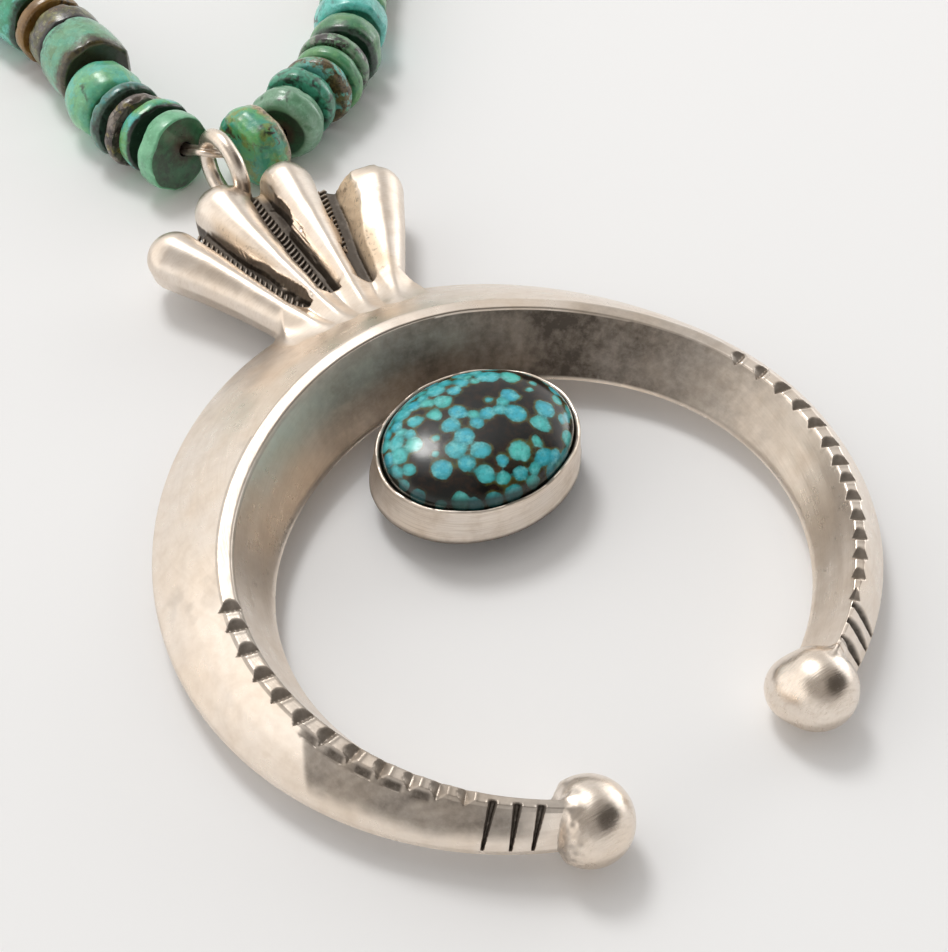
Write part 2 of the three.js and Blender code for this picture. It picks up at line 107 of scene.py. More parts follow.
def surface_nets(F, lo, h):
    """Quads of the zero surface of F (inside < 0) on a regular grid."""
    s = F < 0
    nx, ny, nz = F.shape
    c = [(0, 0, 0), (1, 0, 0), (0, 1, 0), (1, 1, 0), (0, 0, 1), (1, 0, 1), (0, 1, 1), (1, 1, 1)]
    cnt = sum(s[a:nx - 1 + a, b:ny - 1 + b, d:nz - 1 + d].astype(np.int8) for a, b, d in c)
    act = (cnt > 0) & (cnt < 8)
    idx = -np.ones(act.shape, np.int64)
    ii = np.argwhere(act)
    idx[act] = np.arange(len(ii))
    val = np.stack([F[ii[:, 0] + a, ii[:, 1] + b, ii[:, 2] + d] for a, b, d in c], 1)
    edges = [(0, 1), (2, 3), (4, 5), (6, 7), (0, 2), (1, 3), (4, 6), (5, 7), (0, 4), (1, 5), (2, 6), (3, 7)]
    cc = np.array(c, float)
    acc = np.zeros((len(ii), 3))
    num = np.zeros(len(ii))
    for a, b in edges:
        va, vb = val[:, a], val[:, b]
        m = (va < 0) != (vb < 0)
        t = np.where(m, va / np.where(m, va - vb, 1), 0)[:, None]
        acc += np.where(m[:, None], cc[a] + t * (cc[b] - cc[a]), 0)
        num += m
    V = lo + (ii + acc / num[:, None]) * h
    quads = []
    for ax in range(3):
        o1, o2 = [(1, 2), (2, 0), (0, 1)][ax]
        sl_a = [slice(None)] * 3
        sl_b = [slice(None)] * 3
        sl_a[ax], sl_b[ax] = slice(0, -1), slice(1, None)
        e = np.argwhere(s[tuple(sl_a)] != s[tuple(sl_b)])
        e = e[(e[:, o1] > 0) & (e[:, o2] > 0) & (e[:, o1] < F.shape[o1] - 1) & (e[:, o2] < F.shape[o2] - 1)]
        inside = s[e[:, 0], e[:, 1], e[:, 2]]
        q = []
        for d1, d2 in ((1, 1), (0, 1), (0, 0), (1, 0)):
            k = e.copy()
            k[:, o1] -= d1
            k[:, o2] -= d2
            q.append(idx[k[:, 0], k[:, 1], k[:, 2]])
        q = np.stack(q, 1)
        q[~inside] = q[~inside][:, ::-1]
        quads.append(q)
    return V, np.vstack(quads)


def smin(a, b, k):
    h = np.clip(0.5 + 0.5 * (b - a) / k, 0, 1)
    return b + (a - b) * h - k * h * (1 - h)


# ------------------------------------------------------------------ crescent
CRESCENT = np.array([
    [-150, 34.61, 32.59, 4.67, 29.72], [-135, 35.26, 32.44, 5.10, 29.56], [-120, 35.79, 32.10, 5.48, 28.99],
    [-105, 36.00, 31.42, 5.74, 27.85], [-90, 35.82, 30.25, 5.91, 26.14], [-75, 35.41, 28.66, 6.11, 24.07],
    [-60, 35.00, 26.95, 6.44, 22.04], [-45, 34.82, 25.46, 6.93, 20.43], [-30, 34.86, 24.43, 7.47, 19.43],
    [-15, 34.97, 23.83, 7.92, 19.02], [0, 34.93, 23.56, 8.10, 19.03], [15, 34.68, 23.59, 7.95, 19.34],
    [30, 34.38, 24.06, 7.51, 19.96], [45, 34.28, 25.16, 6.92, 21.02], [60, 34.55, 26.83, 6.37, 22.51],
    [75, 35.12, 28.74, 5.99, 24.28], [90, 35.71, 30.42, 5.79, 26.00], [105, 36.00, 31.51, 5.68, 27.39],
    [120, 35.84, 32.01, 5.52, 28.31], [135, 35.30, 32.17, 5.23, 28.82], [150, 34.62, 32.26, 4.83, 29.10]])
RIM_OUT, RIM_IN = 0.50, 0.34
RIDGE = 1.26
BALLS = {-1: dict(r=4.0, c=(-13.03, -29.80, 1.15), k=2.1), 1: dict(r=3.9, c=(12.55, -29.65, 1.05), k=0.5)}
LUMP = dict(r=3.2, d=(-1.1, 0.95, -0.4))


def ridge_half(phi):
    """Half the width of the flat along the ridge; it narrows toward the tips"""
    phi = np.asarray(phi, float)
    return RIDGE / 2 * (1 - 0.30 * sstep(100, 132, phi) - 0.45 * sstep(134, 145, phi) - 0.38 * sstep(112, 150, -phi))


def crescent_at(phi):
    """outer, ridge, ridge z, inner at angle phi (degrees), smooth between the table's rows"""
    phi = np.clip(np.asarray(phi, float), -156, 156)
    u = (phi + 150) / 15
    i = np.clip(np.floor(u).astype(int), 0, len(CRESCENT) - 2)
    f = (u - i)[..., None]
    n = len(CRESCENT) - 1
    g = lambda k: CRESCENT[np.clip(k, 0, n), 1:]
    p0, p1, p2, p3 = g(i - 1), g(i), g(i + 1), g(i + 2)
    p0 = np.where((i == 0)[..., None], 2 * p1 - p2, p0)
    p3 = np.where((i == n - 1)[..., None], 2 * p2 - p1, p3)
    v0, v1 = (p2 - p0) / 2, (p3 - p1) / 2
    out = (2 * p1 - 2 * p2 + v0 + v1) * f ** 3 + (-3 * p1 + 3 * p2 - 2 * v0 - v1) * f ** 2 + v0 * f + p1
    return out[..., 0], out[..., 1], out[..., 2], out[..., 3]


def section(phi):
    """Corner points (r, z) of the section at each phi: arrays shaped (len(phi), corners, 2)"""
    o, r, z, n = crescent_at(phi)
    h = ridge_half(phi)
    e, ei = RIM_OUT, RIM_IN
    pts = []
    pts.append((o, 0 * o))
    pts.append((o, 0 * o + e))
    for t, b in ((0.25, 0.26), (0.5, 0.40), (0.75, 0.34)):
        pts.append((o + (r + h - o) * t, e + (z - e) * t + b))
    pts.append((r + h, z))
    pts.append((r - h, z))
    for t, b in ((0.3, -0.22), (0.65, -0.20)):
        pts.append((r - h + (n - r + h) * t, z + (ei - z) * t + b))
    pts.append((n, 0 * o + ei))
    pts.append((n, 0 * o))
    return np.stack([np.stack(p, -1) for p in pts], 1)


NOTCHES = [-137.5, -133.4, -129.2, -124.6, -119.8, -115.1, -110.2, -105.3, -100.3, -95.0, -90.1, -86.2,
           83.2, 88.4, 93.7, 99.0, 103.9, 108.6, 113.0, 117.1, 121.1, 125.2, 129.3, 133.4, 137.6, 142.0]
CUTS = [-141.6, -145.2, -148.7, 143.6, 146.9, 150.6]
SKEW = [0.75, 0.45, 0.85, -1.2, -1.6, -2.2]


def crescent_mesh():
    step = 0.8
    phis = list(np.arange(-152.0, 152.01, step))
    for c in NOTCHES:
        w = math.degrees(1.0 / 32)
        phis += [c + w * t for t in np.linspace(-1.35, 1.75, 24)]
    for c in CUTS:
        w = math.degrees(0.5 / 32.5)
        phis += [c + w * t for t in np.linspace(-3.4, 3.4, 61)]
    phis = np.unique(np.round([p for p in phis if abs(p) <= 152.0], 3))
    keep = [0]
    for i in range(1, len(phis)):
        if phis[i] - phis[keep[-1]] > 0.04:
            keep.append(i)
    phis = phis[keep]
    S = section(phis)                      # (n, 11, 2)
    # dense closed polyline, rounded corners by smoothing along the outline
    dense = []
    nseg = [3, 26, 26, 26, 26, 14, 22, 22, 22, 3, 30]
    for k in range(11):
        a, b = S[:, k], S[:, (k + 1) % 11]
        t = np.linspace(0, 1, nseg[k], endpoint=False)[None, :, None]
        dense.append(a[:, None] * (1 - t) + b[:, None] * t)
    D = np.concatenate(dense, 1)
    for _ in range(3):
        D = 0.25 * np.roll(D, 1, 1) + 0.5 * D + 0.25 * np.roll(D, -1, 1)
    D[:, 0] = S[:, 0]
    D[:, -30] = S[:, 10]
    sel = np.r_[0, 1, 3, 4, 6:84:5, 86:107:2, 107:121, 121:135, 137:188:4, 188, 189, 190, 191, 196, 205, 213]
    sel = np.unique(sel)
    sel = sel[sel < D.shape[1]]
    P = D[:, sel]
    n, m = P.shape[:2]
    r, z = P[..., 0].copy(), P[..., 1].copy()
    o_, r_, z_, n_ = crescent_at(phis)
    ox = np.zeros((n, m))
    PH = phis[:, None] * np.ones((1, m))
    # half-round notches filed across the ridge: a sloping wall toward the crown, darkened by oxide and painted shade,
    # and a short bright one below it
    zr = z_[:, None]
    rnd = rng(3)
    for c in NOTCHES:
        a = abs(c)
        j = [rnd.rand() - 0.5 for _ in range(4)]
        if c < 0:
            depth, w1, half = 0.56 + 0.08 * j[0], 0.94 + 0.08 * j[1], 1.34
            w2 = 0.46 + 0.30 * float(sstep(113, 125, a))
            lam = -float(np.interp(a, [85, 100, 105, 110, 115, 120, 126], [0.26, 0.28, 0.36, 0.34, 0.25, 0.16, 0.0]))
            if a > 122:
                w1 *= 0.78
                depth *= 1.08
        else:
            depth, w1, half = 0.54 + 0.08 * j[0], 0.94 + 0.08 * j[1], 1.30
            w2 = 0.46
            lam = float(np.interp(a, [83, 88.4, 93.7, 99, 104, 110, 121, 130, 142], [-0.22, -0.25, 0.0, 0.15, 0.12, 0.05, -0.03, -0.10, -0.15]))
            if a > 140:
                w1 *= 1.15
                half = 0.95
        c += 0.22 * j[2]
        lam += 0.05 * j[3]
        dr = r - r_[:, None]
        u = np.radians(PH - c) * r_[:, None] * (1 if c < 0 else -1)
        u = u + lam * dr
        moon = np.maximum(1 - np.clip(np.abs(dr) / half, 0, 1) ** 1.45, 0.02) ** 0.9
        if a > 140:
            moon = np.maximum(1 - np.abs(dr) / half, 0.02)
        t = np.where(u > 0, u / (w1 * moon), -u / w2)
        lim = zr - depth * (1 - t)
        cut = (t < 1) & (z > lim)
        fade = sstep(0.0, 0.10, u)
        # oxide and painted shade on the sloping wall of the notch, carried by the ox attribute
        ox = np.maximum(ox, np.where(cut & (u > -0.02), 0.42 * np.maximum(fade, 0.7) * sstep(0.02, 0.12, z - lim + 0.02), 0))
        z = np.where(cut, lim, z)
        lip = np.exp(-(((t - 1) * np.where(u > 0, w1, w2) - 0.14) / 0.16) ** 2) * sstep(-1.2, -0.2, z - zr) * (t > 0.9)
        z = z + np.where(u > 0, 0.0, 0.035) * lip
    # filed facets along the outer edge of the ridge, between the notches of the left arm
    fz = sstep(-108, -114, PH) * (1 - sstep(-130, -140, PH))
    lane = np.exp(-np.abs((r - r_[:, None] - ridge_half(PH) - 0.36) / 0.30) ** 6) * (z > 2)
    left = sorted(c for c in NOTCHES if c < -105)
    gate = 0
    for a, b in zip(left[:-1], left[1:]):
        gate = np.maximum(gate, np.exp(-np.abs((PH - 0.5 * (a + b)) / 1.62) ** 8))
    ox = np.maximum(ox, 0.58 * fz * lane * gate)
    z = z - 0.24 * fz * lane * (0.4 + 0.6 * gate)
    # long tapering cuts down the outer face
    ro = o_[:, None]
    rh = ridge_half(PH)
    ridge_out = r_[:, None] + rh
    v = np.clip((r - ridge_out) / (ro - ridge_out), -0.35, 1)      # 0 at the ridge edge, 1 at the rim
    upper = (P[..., 1] > RIM_OUT * 0.8) & (r > r_[:, None] - 0.1)
    for c, sk in zip(CUTS, SKEW):
        s = np.radians(PH - c - sk * np.clip(v, 0, 1)) * 33.0
        w = 0.40 - 0.27 * np.clip(v, 0, 1) if c < 0 else 0.32 + 0.27 * np.sin(np.pi * np.clip(v * 0.9 + 0.1, 0, 1))
        along = sstep(-0.20, -0.02, v) * (1 - sstep(0.93, 1.0, v))
        q = np.clip(1 - np.abs(s) / w, 0, 1)
        d = 0.75 * along * np.minimum(1, q * 1.45) * upper
        ox = np.maximum(ox, np.minimum(0.58, (1.1 if c < 0 else 1.7) * d))
        r = r - d * 0.55
        z = z - d * 0.85
        bur = np.exp(-((np.abs(s) - w - 0.08) / 0.07) ** 2) * along * upper
        z = z + 0.03 * bur
    # gentle hand-worked unevenness
    X = np.stack([r * np.sin(np.radians(PH)), r * np.cos(np.radians(PH)), z], -1)
    wob = 0.05 * vnoise(X, 6.0, 1) + 0.018 * vnoise(X, 1.6, 2)
    top = sstep(0.3, 1.2, z)
    X[..., 2] += wob * top
    V = X.reshape(-1, 3)
    F = grid_faces(n, m)
    cap0, cap1 = list(range(m)), list(range((n - 1) * m, n * m))
    F = [tuple(f) for f in F[:, ::-1]] + [tuple(cap0)] + [tuple(reversed(cap1))]
    # angle, radius and height of each vertex; only the angles are returned; tarnish
    # that gathers low on the slopes and where the photo-real piece is dark
    ph, rr, zz = PH.reshape(-1), np.hypot(V[:, 0], V[:, 1]), V[:, 2]
    return V, F, ox.reshape(-1), ph


# 2-D distance to the section polygon, for the solids that blend into the crescent
def crescent_sdf(X, shrink=0.0):
    ph = np.degrees(np.arctan2(X[..., 0], X[..., 1]))
    r = np.hypot(X[..., 0], X[..., 1])
    shp = r.shape
    ph, r, z = ph.reshape(-1), r.reshape(-1), X[..., 2].reshape(-1)
    S = section(ph)
    d2 = np.full(r.shape, 1e9)
    inside = np.zeros(r.shape, bool)
    n = S.shape[1]
    for k in range(n):
        ax, az = S[:, k, 0], S[:, k, 1]
        bx, bz = S[:, (k + 1) % n, 0], S[:, (k + 1) % n, 1]
        ex, ez = bx - ax, bz - az
        wx, wz = r - ax, z - az
        t = np.clip((wx * ex + wz * ez) / (ex * ex + ez * ez + 1e-9), 0, 1)
        dx, dz = wx - ex * t, wz - ez * t
        d2 = np.minimum(d2, dx * dx + dz * dz)
        c = ((az > z) != (bz > z)) & (r < (bx - ax) * (z - az) / np.where(bz == az, 1e-9, bz - az) + ax)
        inside ^= c
    d = np.sqrt(d2)
    d = np.where(inside, -d, d).reshape(shp)
    return d + shrink


def gridpts(lo, hi, h):
    ax = [np.arange(lo[k], hi[k] + h, h) for k in range(3)]
    G = np.stack(np.meshgrid(*ax, indexing="ij"), -1)
    return G, np.array(lo, float)


def round_cone(G, a, b, r1, r2):
    """Distance to the hull of two balls"""
    ba = b - a
    l2 = ba @ ba
    dr = r1 - r2
    a2 = l2 - dr * dr
    pa = G - a
    y = pa @ ba
    z = y - l2
    q = pa * l2 - y[..., None] * ba
    x2 = (q * q).sum(-1)
    y2, z2 = y * y * l2, z * z * l2
    k = np.sign(dr) * dr * dr * x2
    far = np.sqrt(x2 + z2) / l2 - r2
    near = np.sqrt(x2 + y2) / l2 - r1
    side = (np.sqrt(x2 * a2 / l2) + y * dr) / l2 - r1
    return np.where(np.sign(z) * a2 * z2 > k, far, np.where(np.sign(y) * a2 * y2 < k, near, side))


def ball_end(sign):
    """Ball with the short arm stub flowing into it"""
    B = BALLS[sign]
    c, R = np.array(B["c"]), B["r"]
    h = 0.14
    lo = c - (5.4 if sign < 0 else 6.2)
    hi = c + 5.4
    if sign < 0:
        lo[0], hi[0] = c[0] - 8.5, c[0] + 4.9
    else:
        lo[0], hi[0] = c[0] - 6.2, c[0] + 8.5
    hi[1] = c[1] + 7.0
    lo[2], hi[2] = FLOOR - 0.3, 6.6
    G, lo = gridpts(lo, hi, h)
    ph = np.degrees(np.arctan2(G[..., 0], G[..., 1])) * sign
    ph = np.where(ph < 0, ph + 360, ph)
    along = np.radians(ph - 150.4) * 32.5
    arm = crescent_sdf(G, 0.05)
    stub = np.maximum(arm, np.maximum(np.radians(ph - 158.0) * 32.5, -along - 0.6))
    stub = stub + 2.8 * sstep(1.6, 5.4, along)
    ball = np.linalg.norm(G - c, axis=-1) - R
    if sign < 0:
        t = math.radians(-150.4)
        cone = round_cone(G, np.array([31.5 * math.sin(t), 31.5 * math.cos(t), 1.7]), c, 1.7, R)
        ball = cone + 1.2 * sstep(1.3, -0.1, along)
    gate = sstep(-0.2, 1.7, along) * sstep(5.6, 2.8, along)
    kf = 0.12 + B["k"] * sstep(0.8, 3.2, G[..., 2]) * gate
    if sign < 0:
        kf = 0.08 + (0.55 + 0.6 * sstep(-0.5, 1.2, G[..., 2])) * sstep(-0.1, 1.2, along) * sstep(5.4, 2.8, along)
    F = smin(stub, ball, kf)
    if sign > 0:
        c2 = c + np.array(LUMP["d"])
        lump = np.linalg.norm(G - c2, axis=-1) - LUMP["r"]
        F = np.where(along > -0.2, smin(F, lump, 0.36), F)
    F = np.maximum(F, -along)
    P = G.reshape(-1, 3)
    F = F + (0.020 * vnoise(P, 3.4, 5) + 0.004 * vnoise(P, 1.1, 6)).reshape(F.shape)
    rough = sstep(3.2, 1.6, along) * sstep(-0.3, 0.3, along) * (1.0 if sign < 0 else 0.4)
    F = F + (0.05 * vnoise(P, 0.5, 9) + 0.03 * vnoise(P, 0.9, 8)).reshape(F.shape) * rough
    V, Q = surface_nets(F, lo, h)
    ph = np.degrees(np.arctan2(V[:, 0], V[:, 1])) * sign
    s = np.radians(ph - 150.4) * 32.5
    seam = sstep(3.0, 1.2, s) * (0.10 + 0.22 * vnoise(V, 0.5, 10))
    seam = np.maximum(seam, (0.30 if sign < 0 else 0.2) * np.exp(-((s - 0.25) / 0.3) ** 2))
    return V, Q, np.clip(seam, 0, 1)


# ------------------------------------------------------------------ fan
LOBES = [
    dict(axis=[(-4.6, 29.6), (-6.4, 34.6), (-8.3, 39.6), (-10.3, 44.4), (-12.2, 48.5)], w=[1.55, 1.65, 2.0, 2.6, 3.15], h=[4.6, 4.4, 4.7, 5.2, 5.5], side=-1),
    dict(axis=[(-1.9, 29.4), (-2.55, 34.4), (-3.3, 40.6), (-3.95, 46.8), (-4.25, 52.4)], w=[1.4, 1.4, 1.9, 2.6, 3.35], h=[4.8, 4.6, 4.9, 5.4, 5.8], side=1),
    dict(axis=[(0.9, 29.4), (1.6, 34.4), (2.35, 40.0), (3.1, 46.4), (3.8, 52.8)], w=[1.4, 1.5, 2.0, 2.7, 3.2], h=[4.8, 4.6, 4.9, 5.4, 5.8], side=1),
    dict(axis=[(4.2, 29.2), (6.0, 33.8), (8.2, 38.4), (10.2, 42.8), (12.3, 47.3)], w=[1.5, 1.7, 2.2, 2.75, 3.15], h=[4.6, 4.4, 4.7, 5.2, 5.5], side=1),
]
# channels between the lobes: centre line from the open end down to the squared end, half width
CHANNELS = [
    dict(axis=[(-9.0, 53.2), (-7.7, 47.6), (-6.1, 42.0), (-4.65, 37.8), (-3.35, 34.2)], w=[1.15, 1.0, 0.95, 0.85, 0.72], teeth=0.45, wall=2.8),
    dict(axis=[(0.15, 57.0), (0.05, 51.0), (0.05, 45.6), (-0.15, 42.0), (-0.3, 38.0), (-0.3, 34.6)], w=[1.3, 1.25, 1.25, 0.95, 0.8, 0.72], teeth=0.2, wall=3.3),
    dict(axis=[(8.5, 53.2), (7.15, 49.6), (6.1, 45.6), (4.6, 40.2), (3.6, 34.7)], w=[1.25, 1.2, 1.2, 1.1, 0.9], teeth=0.1, wall=2.5),
]
FLOOR_Z = 1.95          # floor of the channels
PITCH = 0.76            # comb of small teeth along each channel


def polyline(P2, axis, vals):
    """XY distance to a polyline, signed side (+ right of travel), fraction along, interpolated values"""
    A = np.array(axis, float)
    best = np.full(P2.shape[0], 1e9)
    side = np.zeros(P2.shape[0])
    along = np.zeros(P2.shape[0])
    over = np.zeros(P2.shape[0])
    out = [np.zeros(P2.shape[0]) for _ in vals]
    cum = np.r_[0, np.cumsum(np.linalg.norm(np.diff(A, axis=0), axis=1))]
    for k in range(len(A) - 1):
        a, b = A[k], A[k + 1]
        e = b - a
        L = np.linalg.norm(e)
        w = P2 - a
        tr = (w @ e) / (L * L)
        t = np.clip(tr, 0, 1)
        d = np.hypot(w[:, 0] - e[0] * t, w[:, 1] - e[1] * t)
        m = d < best
        best = np.where(m, d, best)
        sg = (w[:, 0] * e[1] - w[:, 1] * e[0]) / L
        side = np.where(m, sg, side)
        along = np.where(m, cum[k] + t * L, along)
        over = np.where(m, np.where(tr < 0, tr * L, np.where(tr > 1, (tr - 1) * L, 0)), over)
        for j, v in enumerate(vals):
            out[j] = np.where(m, v[k] * (1 - t) + v[k + 1] * t, out[j])
    return best, side, along, over, out, cum[-1]


def fan():
    h = 0.17
    G, lo = gridpts([-17.2, 25.2, -0.9], [17.2, 57.4, 7.4], h)
    shp = G.shape[:3]
    xy = G[:, :, 0, :2].reshape(-1, 2)
    z = G[..., 2]
    F = None
    for L in LOBES:
        d, s, al, ov, (w, hh), tot = polyline(xy, L["axis"], [L["w"], L["h"]])
        d = d.reshape(shp[:2])[..., None]
        s = s.reshape(shp[:2])[..., None]
        w = w.reshape(shp[:2])[..., None]
        hh = hh.reshape(shp[:2])[..., None]
        al = al.reshape(shp[:2])[..., None]
        hs = 0.42 * hh
        up = np.maximum(z - hs, 0)
        k0 = np.sqrt((d / w) ** 2 + (up / (hh - hs)) ** 2) + 1e-6
        k1 = np.sqrt((d / w ** 2) ** 2 + (up / (hh - hs) ** 2) ** 2) + 1e-6
        if L is LOBES[3]:
            w = w * (1 - 0.38 * sstep(0.6, -0.9, s / w) * sstep(6, 15, al))
        out = np.clip(-s / w, 0, 1) if L is LOBES[0] else (np.clip(s / w, 0, 1) if L is LOBES[3] else 0.25)
        under = 0.95 * out * np.clip(1 - z / np.maximum(hs, 0.1), 0, 1.2) ** 1.3
        f = np.where(up > 0, k0 * (k0 - 1) / k1, d - w + under)
        # crease: a bevel down one flank
        u = L["side"] * s
        bev = ((u - 0.34 * w) * 0.62 + (z - 0.965 * hh) * 0.785)
        if L is not LOBES[3]:
            f = -smin(-f, -bev, 0.55)
        F = f if F is None else np.minimum(F, f)
    # the broad left flank of the last lobe runs down to its channel
    ap = None
    for (ax, ay), (bx, by), off in (((4.3, 34.0), (9.0, 49.5), 0.0),):
        e = np.array([bx - ax, by - ay])
        e /= np.linalg.norm(e)
        right = (G[..., 0] - ax) * e[1] - (G[..., 1] - ay) * e[0]
    yy = G[..., 1]
    foot = np.interp(yy, [31, 34.7, 40.2, 45.6, 49.6, 53], [3.9, 4.45, 5.72, 7.32, 8.38, 9.3])
    right = (G[..., 0] - foot) * 0.95
    top = 2.15 + (1.55 + 2.2 * sstep(47, 37, yy)) * right + 0.35 * vnoise(G, 1.3, 25) + 0.14 * vnoise(G, 0.55, 26)
    far = (G[..., 0] - 7.6) * 0.317 + (yy - 50.85) * 0.948
    ap = -smin(-((z - top) * 0.5), -far, 0.6)
    crest = np.interp(yy, [29, 33.8, 38.4, 42.8, 47.3, 51], [4.1, 3.9, 4.2, 4.7, 5.0, 4.8])
    mid = np.interp(yy, [29.2, 33.8, 38.4, 42.8, 47.3, 51.8], [4.2, 6.0, 8.2, 10.2, 12.3, 14.4])
    ap = np.maximum.reduce([-0.05 - right, ap, z - crest, G[..., 0] - mid + 0.2, 31.0 - yy])
    F = smin(F, ap, 0.8)
    # shoulder joining the lobes over the crescent's slope
    d, s, al, ov, (w, hh), tot = polyline(xy, [(-5.6, 31.4), (0, 32.2), (5.6, 31.2)], [[2.4, 2.7, 2.4], [3.3, 3.7, 3.3]])
    d = d.reshape(shp[:2])[..., None]
    sh = np.maximum(d - w.reshape(shp[:2])[..., None], z - hh.reshape(shp[:2])[..., None])
    lob0 = F.copy()
    cres = crescent_sdf(G, 0.10)
    body = smin(smin(F, sh, 1.3), cres, 1.5)
    F = np.minimum(body, F)
    # web under the channels
    d0, s0, a0, o0, (w0,), t0 = polyline(xy, [(0, 27), (0, 50.5)], [[9.5, 6.2]])
    xl = G[..., 0] - (-5.2 - 0.30 * (G[..., 1] - 30) - 0.0046 * (G[..., 1] - 30) ** 2)
    xr = G[..., 0] - (4.9 + 0.30 * (G[..., 1] - 30) + 0.0046 * (G[..., 1] - 30) ** 2)
    fanr = np.maximum(np.maximum(-xl, xr), G[..., 1] - (54.2 - 0.055 * G[..., 0] ** 2))
    fanr = np.maximum(fanr, 27 - G[..., 1])
    webtop = 1.6 * np.ones(shp[:2])
    slots = None
    for ci, C in enumerate(CHANNELS):
        d, s, al, ov, (w,), tot = polyline(xy, C["axis"], [C["w"]])
        d, s, al, w, ov = [a.reshape(shp[:2]) for a in (d, -s, al, w, ov)]
        lat = np.where(ov > 0, np.abs(s), d)
        rag = 0.12 * vnoise(np.stack([al * 1.0, 0 * al, 0 * al + ci], -1), 1.9, 27) * (s > 0)
        f2 = np.maximum(lat - w - rag, ov)
        webtop = np.where(f2 < 0.5, FLOOR_Z + 0.04 * vnoise(np.stack([s, al, 0 * s], -1), 0.8, 28), webtop)
        f3 = np.maximum(f2[..., None], (FLOOR_Z - 0.15 - z))
        slots = f3 if slots is None else np.minimum(slots, f3)
    F = np.maximum(F, -slots)
    web = np.maximum(fanr, z - webtop[..., None])
    F = np.minimum(F, web)
    # solder run into the foot of the last lobe
    q = (G - np.array([6.26, 33.39, 1.9])) / np.array([1.5, 1.7, 1.7])
    F = smin(F, (np.linalg.norm(q, axis=-1) - 1) * 1.5, 0.9)
    # solder at the foot of the bail ring
    q = (G - np.array([-1.45, 53.9, 2.6])) / np.array([1.25, 1.1, 1.9])
    blob = (np.linalg.norm(q, axis=-1) - 1) * 1.1
    F = smin(F, blob, 0.7)
    F = np.maximum(F, -z)                       # flat back
    # end the piece inside the crescent
    F = np.maximum(F, 26.2 - G[..., 1])
    P = G.reshape(-1, 3)
    nz = (0.045 * vnoise(P, 3.2, 21) + 0.016 * vnoise(P, 1.1, 22)).reshape(shp)
    F = F + nz * sstep(1.5, 0.4, lob0)
    F = np.maximum(F, -z)
    V, Q = surface_nets(F, lo, h)
    return V, Q


def fan_attrs(V):
    xy = V[:, :2]
    z = V[:, 2]
    ox = np.zeros(len(V))
    pit = np.zeros(len(V))
    jag = 0.40 * vnoise(V, 1.5, 61) + 0.10 * vnoise(V, 0.6, 62)
    for ci, C in enumerate(CHANNELS):
        d, s, al, ov, (w,), tot = polyline(xy, C["axis"], [C["w"]])
        s = -s
        f = np.maximum(np.where(ov > 0, np.abs(s), d) - w, ov)
        inside = sstep(0.30, 0.12, f - 0.12 * (s > 0))
        top = C["wall"] - 0.3 * sstep(9, 17, al) * (ci == 0) - 1.5 * sstep(8, 2, al) * (ci < 2) * (s > 0) + 0.5 * jag
        top = np.maximum(top, FLOOR_Z + 0.45)
        ox = np.maximum(ox, 0.62 * inside * sstep(top + 0.25, top - 0.15, z))
        if ci == 2:
            q = (s > 0) * sstep(-0.1, 0.25, s - w) * sstep(3.0, 2.0, s - w) * sstep(5.0, 4.3, z + 0.4 * jag) * sstep(32, 37, V[:, 1])
            pit = np.maximum(pit, q)
        if ci == 0:
            pit = np.maximum(pit, 0.7 * (s > 0) * sstep(0.0, 0.3, s - w) * sstep(1.5, 0.7, s - w) * sstep(4.9, 4.2, z) * sstep(2, 6, al) * sstep(16, 13, al))
    hollow = np.linalg.norm((V - np.array([1.3, 54.2, 3.2])) / np.array([1.3, 2.0, 1.9]), axis=1)
    pit = np.maximum(pit, 0.9 * sstep(1.25, 0.6, hollow + 0.3 * jag))
    return np.clip(ox, 0, 1), np.clip(pit, 0, 1)


